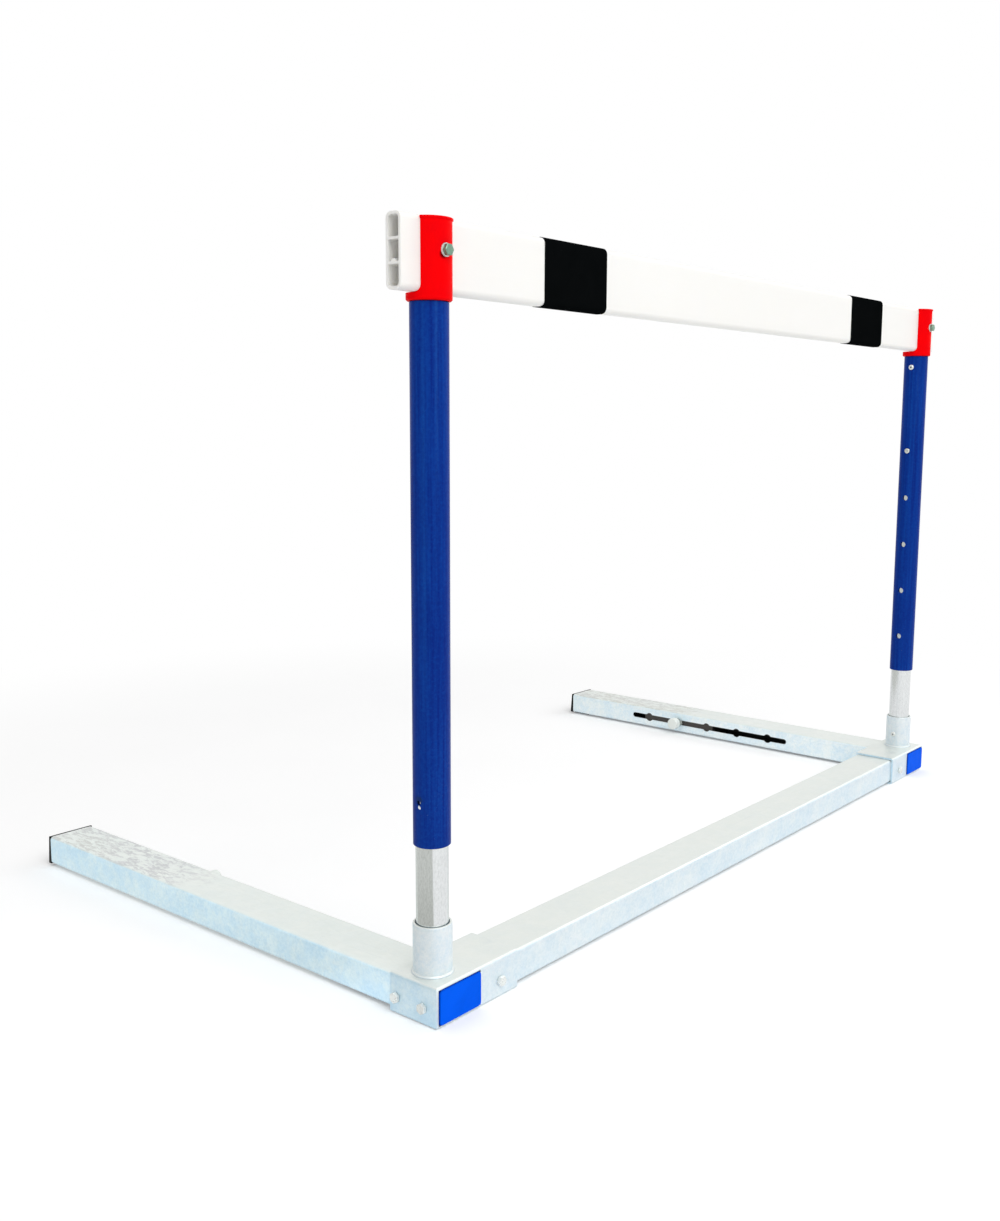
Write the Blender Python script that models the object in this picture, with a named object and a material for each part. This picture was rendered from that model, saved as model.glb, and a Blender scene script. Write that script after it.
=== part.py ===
"""Training hurdle with sliding counterweights, standing at its lowest bar height.

Metres, +Z up. X runs along the bar. The athlete comes from -Y and the two feet trail towards
+Y. The origin is on the floor under the middle of the hurdle. side is +1 for the upright and
leg at +X (right) and -1 for those at -X (left); inward means towards the middle, X = 0.
"""

import math

import bmesh
import bpy
from mathutils import Matrix, Vector

# Overall sizes
BAR_LENGTH = 1.220
BAR_TOP_LOWEST = 0.762
HEIGHT_PITCH = 0.0762
HEIGHT_COUNT = 5
BASE_LENGTH = 0.700

# Clearances
SEAT_GAP = 0.0003
HOLE_CLEARANCE = 0.0003
CUT_MARGIN = 0.004

# Rectangular base tube and the folded corner sheet
TUBE_WIDTH = 0.060
TUBE_HEIGHT = 0.036
TUBE_WALL = 0.0015
TUBE_CORNER = 0.004
SHEET = 0.003
SHEET_BEND = 0.0035
BRACKET_STUB = 0.0573

# Upright: socket, inner post and outer sleeve
POST_FROM_SIDE = 0.0285
POST_FROM_FRONT = 0.032
POST_RADIUS = 0.01615
POST_WALL = 0.0015
POST_ABOVE_BUTTON = 0.040
SOCKET_GAP = 0.00115
SOCKET_WALL = 0.0023
SOCKET_HEIGHT = 0.0505
SOCKET_WELD = 0.0016
SLEEVE_GAP = 0.0008
SLEEVE_WALL = 0.0015
SLEEVE_LENGTH = 0.5145
SLEEVE_EDGE = 0.0006
TOP_HOLE_DROP = 0.1516
VENT_RADIUS = 0.0026
VENT_RISE = 0.0446

# Snap button in the inner post
BUTTON_RADIUS = 0.0040
BUTTON_PROUD = 0.0025
BUTTON_DOME = 0.0010
BUTTON_FLANGE_RADIUS = 0.0052
BUTTON_FLANGE = 0.0012
LEAF_THICKNESS = 0.0008
LEAF_WIDTH = 0.008
LEAF_LENGTH = 0.052
LEAF_TIP = 0.0065
LEAF_BEND_RADIUS = 0.003

# Top cap and bar
BAR_OVERHANG = 0.0442
BAR_HEIGHT = 0.0676
BAR_THICKNESS = 0.0186
BAR_WALL = 0.0028
BAR_WEB = 0.0022
BAR_CORNER = 0.006
BAR_FRONT_OFFSET = 0.0082
BAR_PORT_RADIUS = 0.0028
BAND_WIDTH = 0.106
BAND_FROM_END = 0.2025
BAND_FILM = 0.0003
CAP_RADIUS = 0.0215
CAP_LEDGE = 0.0072
CAP_BELOW_BAR_TOP = 0.0014
CAP_EDGE = 0.0012
CAP_LIP = 0.0010
CAP_LIP_HEIGHT = 0.0018
CAP_LIP_EDGE = 0.0005
CAP_SPIGOT = 0.042
CAP_SPIGOT_GAP = 0.00035
CAP_SPIGOT_WALL = 0.003
SPOT_FACE_RADIUS = 0.0066
SPOT_FACE_DEPTH = 0.0010
BAR_BOLT_DROP = 0.0305

# Screws, nuts and rivets
BOLT_RADIUS = 0.003
HEX_FLATS = 0.010
HEAD_HEIGHT = 0.0040
NUT_HEIGHT = 0.0050
HEX_CHAMFER = 0.0007
BOLT_TAIL = 0.002
WASHER_RADIUS = 0.0062
WASHER_THICKNESS = 0.0015
RIVET_RADIUS = 0.0024
RIVET_HEAD_RADIUS = 0.0042
RIVET_HEAD_HEIGHT = 0.0018
RIVET_TAIL = 0.003
SOCKET_RIVET_RISE = 0.0217
CAP_RIVET_DROP = 0.0182
LEG_BOLTS_FROM_FRONT = (0.0183, 0.0550)
CROSSBAR_BOLT_FROM_LEG = 0.0305
BOLT_DROP = 0.0035

# Plugs in the ends of the legs
PLUG_FLANGE = 0.0049
PLUG_PROUD = 0.0018
PLUG_EDGE = 0.0010
PLUG_LEAF = 0.0018
PLUG_LEAF_LENGTH = 0.016
PLUG_LEAF_INSET = 0.007
PLUG_LEAF_GAP = 0.0004
FOOT_FLANGE_TOP = 0.003
FOOT_FLANGE_BOTTOM = 0.006
FOOT_PAD_INSET = 0.012
FOOT_PAD_LENGTH = 0.030

# Counterweights, and the spring knob that locks each one in its slot
SLOT_HALF_HEIGHT = 0.0045
SLOT_OVERRUN = 0.0375
DETENT_RADIUS = 0.0078
DETENT_PITCH = 0.063
DETENT_COUNT = 5
DETENT_AT_REST = 3
DETENT_FROM_FRONT = 0.259
WEIGHT_LENGTH = 0.150
WEIGHT_SLACK = 0.0008
WEIGHT_EDGE = 0.0015
KNOB_RADIUS = 0.0102
KNOB_THICKNESS = 0.0135
KNOB_STANDOFF = 0.0055
KNOB_EDGE = 0.0018
PIN_RADIUS = 0.0038
PIN_COLLAR_CLEARANCE = 0.0005
PIN_COLLAR_PROUD = 0.0003
PIN_FLANGE_RADIUS = 0.0092
PIN_FLANGE = 0.0026
PIN_TAIL = 0.009
PIN_IN_KNOB = 0.011
PIN_BORE_DEPTH = 0.027
PIN_BORE_CLEARANCE = 0.0005
SPRING_WIRE = 0.0008
SPRING_RADIUS = 0.0062
SPRING_TURNS = 5

# Facets
ROUND_SIDES = 40
SMALL_SIDES = 16
BOLT_SIDES = 12
CORNER_STEPS = 3
SPRING_STEPS = 10

# Turns that lay a shape drawn in XY and extruded along Z: outline to (Y, Z) and length to +X,
# outline to (X, Z) and length to -Y
ALONG_X = (math.pi / 2, 0, math.pi / 2)
ALONG_MINUS_Y = (math.pi / 2, 0, 0)

# Places that follow from the sizes
POST_X = BAR_LENGTH / 2 - BAR_OVERHANG
OUTER_X = POST_X + POST_FROM_SIDE
LEG_OUTER_X = OUTER_X - SHEET - SEAT_GAP
LEG_INNER_X = LEG_OUTER_X - TUBE_WIDTH
LEG_X = (LEG_OUTER_X + LEG_INNER_X) / 2
STUB_X = LEG_INNER_X - BRACKET_STUB
FRONT_Y = (HEAD_HEIGHT + SEAT_GAP - BASE_LENGTH) / 2
REAR_Y = FRONT_Y + BASE_LENGTH
POST_Y = FRONT_Y + POST_FROM_FRONT
CROSSBAR_FRONT_Y = FRONT_Y + SHEET + SEAT_GAP
CROSSBAR_REAR_Y = CROSSBAR_FRONT_Y + TUBE_WIDTH
CROSSBAR_Y = (CROSSBAR_FRONT_Y + CROSSBAR_REAR_Y) / 2
LEG_FRONT_Y = FRONT_Y - PLUG_PROUD + PLUG_FLANGE + SEAT_GAP
LEG_REAR_Y = REAR_Y - FOOT_FLANGE_BOTTOM - SEAT_GAP
LEG_LENGTH = LEG_REAR_Y - LEG_FRONT_Y
TUBE_BOTTOM_Z = SHEET + SEAT_GAP
TUBE_TOP_Z = TUBE_BOTTOM_Z + TUBE_HEIGHT
TUBE_Z = (TUBE_BOTTOM_Z + TUBE_TOP_Z) / 2
BRACKET_TOP_Z = TUBE_TOP_Z + SEAT_GAP + SHEET
SOCKET_BOTTOM_Z = BRACKET_TOP_Z + SEAT_GAP
BAR_BOTTOM_Z = BAR_TOP_LOWEST - BAR_HEIGHT
SLEEVE_TOP_Z = BAR_BOTTOM_Z - CAP_LEDGE
SLEEVE_BOTTOM_Z = SLEEVE_TOP_Z - SLEEVE_LENGTH
BUTTON_Z = SLEEVE_TOP_Z - TOP_HOLE_DROP
POST_TOP_Z = BUTTON_Z + POST_ABOVE_BUTTON
BAR_FRONT_Y = POST_Y - BAR_FRONT_OFFSET
BAR_Y = BAR_FRONT_Y + BAR_THICKNESS / 2
BAR_REAR_Y = BAR_FRONT_Y + BAR_THICKNESS
BAR_BOLT_Z = BAR_TOP_LOWEST - BAR_BOLT_DROP
SPOT_FACE_Y = POST_Y - CAP_RADIUS + SPOT_FACE_DEPTH
SLEEVE_INNER_RADIUS = POST_RADIUS + SLEEVE_GAP
SLEEVE_RADIUS = SLEEVE_INNER_RADIUS + SLEEVE_WALL
SOCKET_INNER_RADIUS = POST_RADIUS + SOCKET_GAP
SOCKET_RADIUS = SOCKET_INNER_RADIUS + SOCKET_WALL
POST_INNER_RADIUS = POST_RADIUS - POST_WALL
SPIGOT_RADIUS = SLEEVE_INNER_RADIUS - CAP_SPIGOT_GAP
SPIGOT_BORE = SPIGOT_RADIUS - CAP_SPIGOT_WALL
BUTTON_HOLE_RADIUS = BUTTON_RADIUS + HOLE_CLEARANCE
BUTTON_TIP = SLEEVE_RADIUS + BUTTON_PROUD
BUTTON_SHOULDER = math.sqrt(POST_INNER_RADIUS**2 - BUTTON_FLANGE_RADIUS**2) - SEAT_GAP
BUTTON_BACK = BUTTON_SHOULDER - BUTTON_FLANGE
BOLT_HOLE_RADIUS = BOLT_RADIUS + HOLE_CLEARANCE
RIVET_HOLE_RADIUS = RIVET_RADIUS + HOLE_CLEARANCE
LEG_BOLT_Z = TUBE_Z - BOLT_DROP
CROSSBAR_BOLT_X = LEG_INNER_X - CROSSBAR_BOLT_FROM_LEG
WEIGHT_Y = FRONT_Y + DETENT_FROM_FRONT + DETENT_AT_REST * DETENT_PITCH
WEIGHT_WIDTH = TUBE_WIDTH - 2 * (TUBE_WALL + WEIGHT_SLACK)
WEIGHT_HEIGHT = TUBE_HEIGHT - 2 * (TUBE_WALL + WEIGHT_SLACK)
SOCKET_RIVET_Z = SOCKET_BOTTOM_Z + SOCKET_RIVET_RISE
CAP_RIVET_Z = SLEEVE_TOP_Z - CAP_RIVET_DROP

SIDES = {"left": -1, "right": 1}


def clear_scene():
    for item in list(bpy.data.objects):
        bpy.data.objects.remove(item, do_unlink=True)


def paint(name, color, roughness, metallic=0.0):
    made = bpy.data.materials.new(name)
    made.use_nodes = True
    made.diffuse_color = (*color, 1.0)
    shader = made.node_tree.nodes["Principled BSDF"]
    shader.inputs["Base Color"].default_value = (*color, 1.0)
    shader.inputs["Roughness"].default_value = roughness
    shader.inputs["Metallic"].default_value = metallic
    return made


def paints():
    return {
        "galvanised": paint("galvanised_steel", (0.72, 0.76, 0.78), 0.45, 0.9),
        "zinc": paint("zinc_plated_steel", (0.70, 0.72, 0.70), 0.3, 1.0),
        "steel": paint("dark_steel", (0.16, 0.16, 0.155), 0.55, 0.8),
        "spring": paint("spring_steel", (0.45, 0.46, 0.48), 0.3, 1.0),
        "sleeve": paint("blue_powder_coat", (0.008, 0.035, 0.30), 0.35),
        "cap": paint("red_moulded_plastic", (0.95, 0.004, 0.006), 0.3),
        "plug": paint("blue_plastic", (0.0, 0.10, 0.95), 0.4),
        "foot": paint("black_plastic", (0.012, 0.012, 0.012), 0.5),
        "bar": paint("white_profile", (0.93, 0.93, 0.90), 0.35),
        "band": paint("black_film", (0.012, 0.012, 0.014), 0.3),
        "knob": paint("white_knob", (0.90, 0.91, 0.86), 0.35),
    }


def frame_point(name, at):
    """An empty that carries the pieces of one moving body."""
    empty = bpy.data.objects.new(name, None)
    empty.location = at
    bpy.context.collection.objects.link(empty)
    return empty


def add(name, shape, finish, parent, at=(0, 0, 0), turn=(0, 0, 0)):
    """Turns a bmesh into an object at a world place, under its body's empty."""
    bmesh.ops.recalc_face_normals(shape, faces=shape.faces)
    mesh = bpy.data.meshes.new(name)
    shape.to_mesh(mesh)
    shape.free()
    mesh.shade_smooth()
    mesh.set_sharp_from_angle(angle=math.radians(35))
    item = bpy.data.objects.new(name, mesh)
    if finish:
        mesh.materials.append(finish)
    item.parent = parent
    item.location = Vector(at) - parent.location
    item.rotation_euler = turn
    bpy.context.collection.objects.link(item)
    return item


def combine(target, tool, operation):
    """Cuts a tool out of a target, or joins it on, and hides the tool."""
    tool.hide_render = True
    tool.display_type = "WIRE"
    modifier = target.modifiers.new(tool.name, "BOOLEAN")
    modifier.operation = operation
    modifier.solver = "EXACT"
    modifier.object = tool


def cut(target, name, shape, parent, at=(0, 0, 0), turn=(0, 0, 0)):
    combine(target, add(name, shape, None, parent, at, turn), "DIFFERENCE")


def join(target, name, shape, parent, at=(0, 0, 0), turn=(0, 0, 0)):
    combine(target, add(name, shape, None, parent, at, turn), "UNION")


def ring(radius, height, sides=ROUND_SIDES, flats=0):
    """A level ring of points: a circle, or a polygon whose flats lie at the radius."""
    points = []
    for step in range(sides):
        angle = 2 * math.pi * step / sides
        reach = radius
        if flats:
            sector = 2 * math.pi / flats
            reach = radius / math.cos(angle % sector - sector / 2)
        points.append((reach * math.cos(angle), reach * math.sin(angle), height))
    return points


def skin(rings, closed=False):
    """Joins rings of equal count, one after the other, and caps the ends unless closed."""
    shape = bmesh.new()
    loops = [[shape.verts.new(point) for point in points] for points in rings]
    pairs = list(zip(loops, loops[1:]))
    if closed:
        pairs.append((loops[-1], loops[0]))
    for lower, upper in pairs:
        for here in range(len(lower)):
            after = (here + 1) % len(lower)
            shape.faces.new((lower[here], lower[after], upper[after], upper[here]))
    if not closed:
        shape.faces.new(loops[0])
        shape.faces.new(loops[-1])
    return shape


def turned(profile, sides=ROUND_SIDES, closed=False):
    """Turns (radius, height) points about Z: a closed profile is a ring, an open one is solid."""
    return skin([ring(radius, height, sides) for radius, height in profile], closed)


def tube_profile(outer, inner, bottom, top, edge=0.0):
    """The (radius, height) outline of a round tube whose outer edges have a small chamfer."""
    if not edge:
        return [(outer, bottom), (outer, top), (inner, top), (inner, bottom)]
    return [
        (outer - edge, bottom),
        (outer, bottom + edge),
        (outer, top - edge),
        (outer - edge, top),
        (inner, top),
        (inner, bottom),
    ]


def arc(centre, radius, first, last, steps):
    """Points on an arc, in degrees, with both ends."""
    points = []
    for step in range(steps + 1):
        angle = math.radians(first + (last - first) * step / steps)
        points.append((centre[0] + radius * math.cos(angle), centre[1] + radius * math.sin(angle)))
    return points


def rounded_rectangle(width, height, corner, steps=CORNER_STEPS):
    """An outline about the origin, as four corner arcs."""
    across = width / 2 - corner
    up = height / 2 - corner
    outline = []
    for quarter, (x, y) in enumerate([(across, up), (-across, up), (-across, -up), (across, -up)]):
        outline += arc((x, y), corner, 90 * quarter, 90 * quarter + 90, steps)
    return outline


def prism(outline, length):
    """Extrudes an outline in XY from Z = 0."""
    return skin([[(x, y, 0) for x, y in outline], [(x, y, length) for x, y in outline]])


def hollow_prism(outer, inner, length):
    """Extrudes the wall between two outlines of equal count from Z = 0."""
    rings = []
    for outline, height in ((outer, 0), (outer, length), (inner, length), (inner, 0)):
        rings.append([(x, y, height) for x, y in outline])
    return skin(rings, closed=True)


def block(low, high):
    """A box between two corners, given in any order."""
    shape = bmesh.new()
    size = [abs(b - a) for a, b in zip(low, high)]
    middle = [(a + b) / 2 for a, b in zip(low, high)]
    place = Matrix.Translation(middle) @ Matrix.Diagonal((*size, 1))
    bmesh.ops.create_cube(shape, size=1, matrix=place)
    return shape


def rods(radius, centres, axis, length, sides=SMALL_SIDES):
    """Round rods of one size at several places, all along one axis."""
    shape = bmesh.new()
    turn = Vector((0, 0, 1)).rotation_difference(Vector(axis)).to_matrix().to_4x4()
    for centre in centres:
        bmesh.ops.create_cone(
            shape,
            cap_ends=True,
            segments=sides,
            radius1=radius,
            radius2=radius,
            depth=length,
            matrix=Matrix.Translation(centre) @ turn,
        )
    return shape


def soften(shape, width, test, steps=1):
    """Bevels the edges that pass a test."""
    edges = [edge for edge in shape.edges if test(edge)]
    bmesh.ops.bevel(shape, geom=edges, offset=width, segments=steps, profile=0.5, affect="EDGES")
    return shape


def base_tube(length):
    """Rectangular tube, extruded from Z = 0."""
    outer = rounded_rectangle(TUBE_WIDTH, TUBE_HEIGHT, TUBE_CORNER)
    bore = rounded_rectangle(
        TUBE_WIDTH - 2 * TUBE_WALL, TUBE_HEIGHT - 2 * TUBE_WALL, TUBE_CORNER - TUBE_WALL
    )
    return hollow_prism(outer, bore, length)


def slot_outline():
    """The slot in (Y, Z) about the middle of its middle detent: a long slot with round bays."""
    reach = (DETENT_COUNT - 1) / 2 * DETENT_PITCH
    bays = [-reach + DETENT_PITCH * number for number in range(DETENT_COUNT)]
    end = reach + SLOT_OVERRUN - SLOT_HALF_HEIGHT
    shoulder = math.degrees(math.asin(SLOT_HALF_HEIGHT / DETENT_RADIUS))
    outline = arc((end, 0), SLOT_HALF_HEIGHT, -90, 90, 6)
    for bay in reversed(bays):
        outline += arc((bay, 0), DETENT_RADIUS, shoulder, 180 - shoulder, 6)
    outline += arc((-end, 0), SLOT_HALF_HEIGHT, 90, 270, 6)
    for bay in bays:
        outline += arc((bay, 0), DETENT_RADIUS, 180 + shoulder, 360 - shoulder, 6)
    return outline


def leg(name, side, looks, base):
    """Rectangular tube with the locking slot in its inward wall."""
    item = add(
        f"leg_{name}",
        base_tube(LEG_LENGTH),
        looks["galvanised"],
        base,
        (side * LEG_X, LEG_REAR_Y, TUBE_Z),
        ALONG_MINUS_Y,
    )
    slot_y = FRONT_Y + DETENT_FROM_FRONT + (DETENT_COUNT - 1) / 2 * DETENT_PITCH
    wall_x = side * (LEG_INNER_X + TUBE_WALL / 2)
    depth = TUBE_WALL + 2 * CUT_MARGIN
    cut(
        item,
        f"slot_cutter_{name}",
        prism(slot_outline(), depth),
        base,
        (wall_x - depth / 2, slot_y, TUBE_Z),
        ALONG_X,
    )
    wall_x = side * (LEG_OUTER_X - TUBE_WALL / 2)
    places = [(wall_x, FRONT_Y + setback, LEG_BOLT_Z) for setback in LEG_BOLTS_FROM_FRONT]
    cut(item, f"leg_hole_cutter_{name}", rods(BOLT_HOLE_RADIUS, places, (1, 0, 0), depth), base)


def crossbar(looks, base):
    """Front tube of the base, butted between the legs."""
    half = LEG_INNER_X - SEAT_GAP
    item = add(
        "base_crossbar",
        base_tube(2 * half),
        looks["galvanised"],
        base,
        (-half, CROSSBAR_Y, TUBE_Z),
        ALONG_X,
    )
    wall_y = CROSSBAR_FRONT_Y + TUBE_WALL / 2
    places = [(side * CROSSBAR_BOLT_X, wall_y, LEG_BOLT_Z) for side in SIDES.values()]
    depth = TUBE_WALL + 2 * CUT_MARGIN
    cut(item, "crossbar_hole_cutter", rods(BOLT_HOLE_RADIUS, places, (0, 1, 0), depth), base)


def corner_bracket(name, side, looks, base):
    """Folded sheet round the leg and crossbar: top, bottom, outer wall and front wall."""

    def is_fold(edge):
        middle = (edge.verts[0].co + edge.verts[1].co) / 2
        level = min(middle.z, BRACKET_TOP_Z - middle.z) < SEAT_GAP
        outside = abs(middle.x - side * OUTER_X) < SEAT_GAP
        ahead = abs(middle.y - FRONT_Y) < SEAT_GAP
        return level and (outside or ahead)

    sheet = block((side * STUB_X, FRONT_Y, 0), (side * OUTER_X, CROSSBAR_REAR_Y, BRACKET_TOP_Z))
    soften(sheet, SHEET_BEND, is_fold, CORNER_STEPS)
    item = add(f"corner_bracket_{name}", sheet, looks["galvanised"], base)
    inside = block(
        (side * (STUB_X - CUT_MARGIN), FRONT_Y + SHEET, SHEET),
        (side * (OUTER_X - SHEET), CROSSBAR_REAR_Y + CUT_MARGIN, BRACKET_TOP_Z - SHEET),
    )
    cut(item, f"bracket_inside_{name}", inside, base)
    mouth = block(
        (side * (LEG_INNER_X - SEAT_GAP), FRONT_Y - CUT_MARGIN, SHEET),
        (side * (OUTER_X - SHEET), FRONT_Y + SHEET + CUT_MARGIN, BRACKET_TOP_Z - SHEET),
    )
    cut(item, f"bracket_mouth_{name}", mouth, base)
    depth = SHEET + 2 * CUT_MARGIN
    places = []
    for setback in LEG_BOLTS_FROM_FRONT:
        places.append((side * (OUTER_X - SHEET / 2), FRONT_Y + setback, LEG_BOLT_Z))
    outer_holes = rods(BOLT_HOLE_RADIUS, places, (1, 0, 0), depth)
    cut(item, f"bracket_side_holes_{name}", outer_holes, base)
    place = (side * CROSSBAR_BOLT_X, FRONT_Y + SHEET / 2, LEG_BOLT_Z)
    front_hole = rods(BOLT_HOLE_RADIUS, [place], (0, 1, 0), depth)
    cut(item, f"bracket_front_hole_{name}", front_hole, base)


def hex_screw(length):
    """Hexagon head above Z = 0 and a plain shank below it."""
    flat = HEX_FLATS / 2
    return skin(
        [
            ring(flat - HEX_CHAMFER, HEAD_HEIGHT, BOLT_SIDES, 6),
            ring(flat, HEAD_HEIGHT - HEX_CHAMFER, BOLT_SIDES, 6),
            ring(flat, 0, BOLT_SIDES, 6),
            ring(BOLT_RADIUS, 0, BOLT_SIDES),
            ring(BOLT_RADIUS, -length, BOLT_SIDES),
        ]
    )


def hex_nut():
    """Hexagon nut from Z = 0 to its height."""
    flat = HEX_FLATS / 2
    bore = BOLT_RADIUS + HOLE_CLEARANCE
    return skin(
        [
            ring(flat - HEX_CHAMFER, 0, BOLT_SIDES, 6),
            ring(flat, HEX_CHAMFER, BOLT_SIDES, 6),
            ring(flat, NUT_HEIGHT - HEX_CHAMFER, BOLT_SIDES, 6),
            ring(flat - HEX_CHAMFER, NUT_HEIGHT, BOLT_SIDES, 6),
            ring(bore, NUT_HEIGHT, BOLT_SIDES),
            ring(bore, 0, BOLT_SIDES),
        ],
        closed=True,
    )


def facing(direction):
    """The turn that lays local +Z along a level direction."""
    return Vector((0, 0, 1)).rotation_difference(Vector(direction)).to_euler()


def screwed_joint(names, face, outward, grip, looks, body):
    """A hexagon screw with its head on a face, and the nut behind what it grips."""
    out = Vector(outward)
    length = grip + NUT_HEIGHT + BOLT_TAIL
    head = Vector(face) + out * SEAT_GAP
    add(names[0], hex_screw(length), looks["zinc"], body, head, facing(outward))
    nut = Vector(face) - out * (grip + SEAT_GAP + NUT_HEIGHT)
    add(names[1], hex_nut(), looks["zinc"], body, nut, facing(outward))


def base_screws(name, side, looks, base):
    """Screws through the corner sheet into the leg's outer wall and the crossbar's front."""
    grip = SHEET + SEAT_GAP + TUBE_WALL
    for where, setback in zip(("front", "rear"), LEG_BOLTS_FROM_FRONT):
        names = (f"leg_screw_{where}_{name}", f"leg_nut_{where}_{name}")
        face = (side * OUTER_X, FRONT_Y + setback, LEG_BOLT_Z)
        screwed_joint(names, face, (side, 0, 0), grip, looks, base)
    names = (f"crossbar_screw_{name}", f"crossbar_nut_{name}")
    face = (side * CROSSBAR_BOLT_X, FRONT_Y, LEG_BOLT_Z)
    screwed_joint(names, face, (0, -1, 0), grip, looks, base)


def plug_leaves(height, depth):
    """Side view (Y, Z) of a plug's two sprung leaves and their web, which starts at Y = 0."""
    half = height / 2
    inner = half - PLUG_LEAF
    barb = PLUG_LEAF_LENGTH - 2 * PLUG_LEAF
    return [
        (-depth, -half),
        (barb, -half),
        (PLUG_LEAF_LENGTH, -half + PLUG_LEAF / 2),
        (PLUG_LEAF_LENGTH, -inner),
        (PLUG_LEAF, -inner),
        (PLUG_LEAF, inner),
        (PLUG_LEAF_LENGTH, inner),
        (PLUG_LEAF_LENGTH, half - PLUG_LEAF / 2),
        (barb, half),
        (-depth, half),
    ]


def leaf_prism(outline, width):
    """Extrudes a side view along X, centred on X = 0."""
    shape = prism(outline, width)
    bmesh.ops.translate(shape, verts=shape.verts, vec=(0, 0, -width / 2))
    return shape


def front_plug(name, side, looks, base):
    """Blue plug: a flange over the end of the tube and two leaves inside it."""

    def is_front_rim(edge):
        return all(vert.co.z > PLUG_FLANGE - SEAT_GAP for vert in edge.verts)

    flange = prism(rounded_rectangle(TUBE_WIDTH, TUBE_HEIGHT, TUBE_CORNER), PLUG_FLANGE)
    soften(flange, PLUG_EDGE, is_front_rim)
    seat_y = LEG_FRONT_Y - SEAT_GAP
    item = add(
        f"leg_front_plug_{name}",
        flange,
        looks["plug"],
        base,
        (side * LEG_X, seat_y, TUBE_Z),
        ALONG_MINUS_Y,
    )
    height = TUBE_HEIGHT - 2 * (TUBE_WALL + PLUG_LEAF_GAP)
    width = TUBE_WIDTH - 2 * (TUBE_WALL + PLUG_LEAF_INSET)
    leaves = leaf_prism(plug_leaves(height, PLUG_FLANGE / 2), width)
    place = (side * LEG_X, seat_y, TUBE_Z)
    join(item, f"plug_leaves_{name}", leaves, base, place, ALONG_X)


def rear_foot(name, side, looks, base):
    """Black plug whose flange thickens downwards, with a pad under the tube for the floor."""
    seat_y = LEG_REAR_Y + SEAT_GAP
    half = TUBE_HEIGHT / 2
    wedge = [
        (0, -half),
        (FOOT_FLANGE_BOTTOM, -half),
        (FOOT_FLANGE_TOP, half),
        (0, half),
    ]
    shape = leaf_prism(wedge, TUBE_WIDTH)
    place = (side * LEG_X, seat_y, TUBE_Z)
    item = add(f"leg_rear_foot_{name}", shape, looks["foot"], base, place, ALONG_X)
    height = TUBE_HEIGHT - 2 * (TUBE_WALL + PLUG_LEAF_GAP)
    width = TUBE_WIDTH - 2 * (TUBE_WALL + PLUG_LEAF_INSET)
    leaves = leaf_prism([(-y, z) for y, z in plug_leaves(height, FOOT_FLANGE_TOP / 2)], width)
    join(item, f"foot_leaves_{name}", leaves, base, place, ALONG_X)
    pad_front = LEG_REAR_Y - FOOT_PAD_LENGTH
    pad_top = TUBE_BOTTOM_Z - SEAT_GAP
    pad = [
        (pad_front, 0),
        (REAR_Y - FOOT_FLANGE_TOP / 2, 0),
        (REAR_Y - FOOT_FLANGE_TOP, pad_top + FOOT_FLANGE_TOP),
        (seat_y, pad_top + FOOT_FLANGE_TOP),
        (seat_y, pad_top),
        (pad_front, pad_top),
    ]
    shape = leaf_prism(pad, TUBE_WIDTH - 2 * FOOT_PAD_INSET)
    join(item, f"foot_pad_{name}", shape, base, (side * LEG_X, 0, 0), ALONG_X)


def post_socket(name, side, looks, base):
    """Short tube welded to the corner, with the weld's fillet round its foot."""
    foot = [
        (SOCKET_RADIUS + reach, SOCKET_WELD - rise)
        for reach, rise in arc((SOCKET_WELD, 0), SOCKET_WELD, 180, 90, CORNER_STEPS)
    ]
    profile = [
        *foot,
        (SOCKET_INNER_RADIUS, 0),
        (SOCKET_INNER_RADIUS, SOCKET_HEIGHT),
        (SOCKET_RADIUS - SLEEVE_EDGE, SOCKET_HEIGHT),
        (SOCKET_RADIUS, SOCKET_HEIGHT - SLEEVE_EDGE),
    ]
    place = (side * POST_X, POST_Y, SOCKET_BOTTOM_Z)
    shape = turned(profile, closed=True)
    item = add(f"post_socket_{name}", shape, looks["galvanised"], base, place)
    inward = side * (POST_X - SOCKET_INNER_RADIUS)
    hole = rods(RIVET_HOLE_RADIUS, [(inward, POST_Y, SOCKET_RIVET_Z)], (1, 0, 0), 2 * CUT_MARGIN)
    cut(item, f"socket_hole_cutter_{name}", hole, base)


def inner_post(name, side, looks, base):
    """Bright tube that the sleeve slides on, drilled for the snap button and the rivet."""
    place = (side * POST_X, POST_Y, 0)
    profile = tube_profile(POST_RADIUS, POST_INNER_RADIUS, SOCKET_BOTTOM_Z, POST_TOP_Z)
    item = add(
        f"inner_post_{name}", turned(profile, closed=True), looks["galvanised"], base, place
    )
    inward = side * (POST_X - POST_RADIUS)
    depth = 2 * CUT_MARGIN
    button = rods(BUTTON_HOLE_RADIUS, [(inward, POST_Y, BUTTON_Z)], (1, 0, 0), depth)
    cut(item, f"post_button_cutter_{name}", button, base)
    rivet = rods(RIVET_HOLE_RADIUS, [(inward, POST_Y, SOCKET_RIVET_Z)], (1, 0, 0), depth)
    cut(item, f"post_rivet_cutter_{name}", rivet, base)


def rivet(grip):
    """Dome-headed rivet: head above Z = 0, shank and closed tail below."""
    head = arc((0, 0), 1, 0, 60, CORNER_STEPS)
    profile = [(RIVET_HEAD_RADIUS * x, RIVET_HEAD_HEIGHT * y) for x, y in reversed(head)]
    profile += [(RIVET_RADIUS, 0), (RIVET_RADIUS, -grip - RIVET_TAIL)]
    return turned(profile, SMALL_SIDES)


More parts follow.
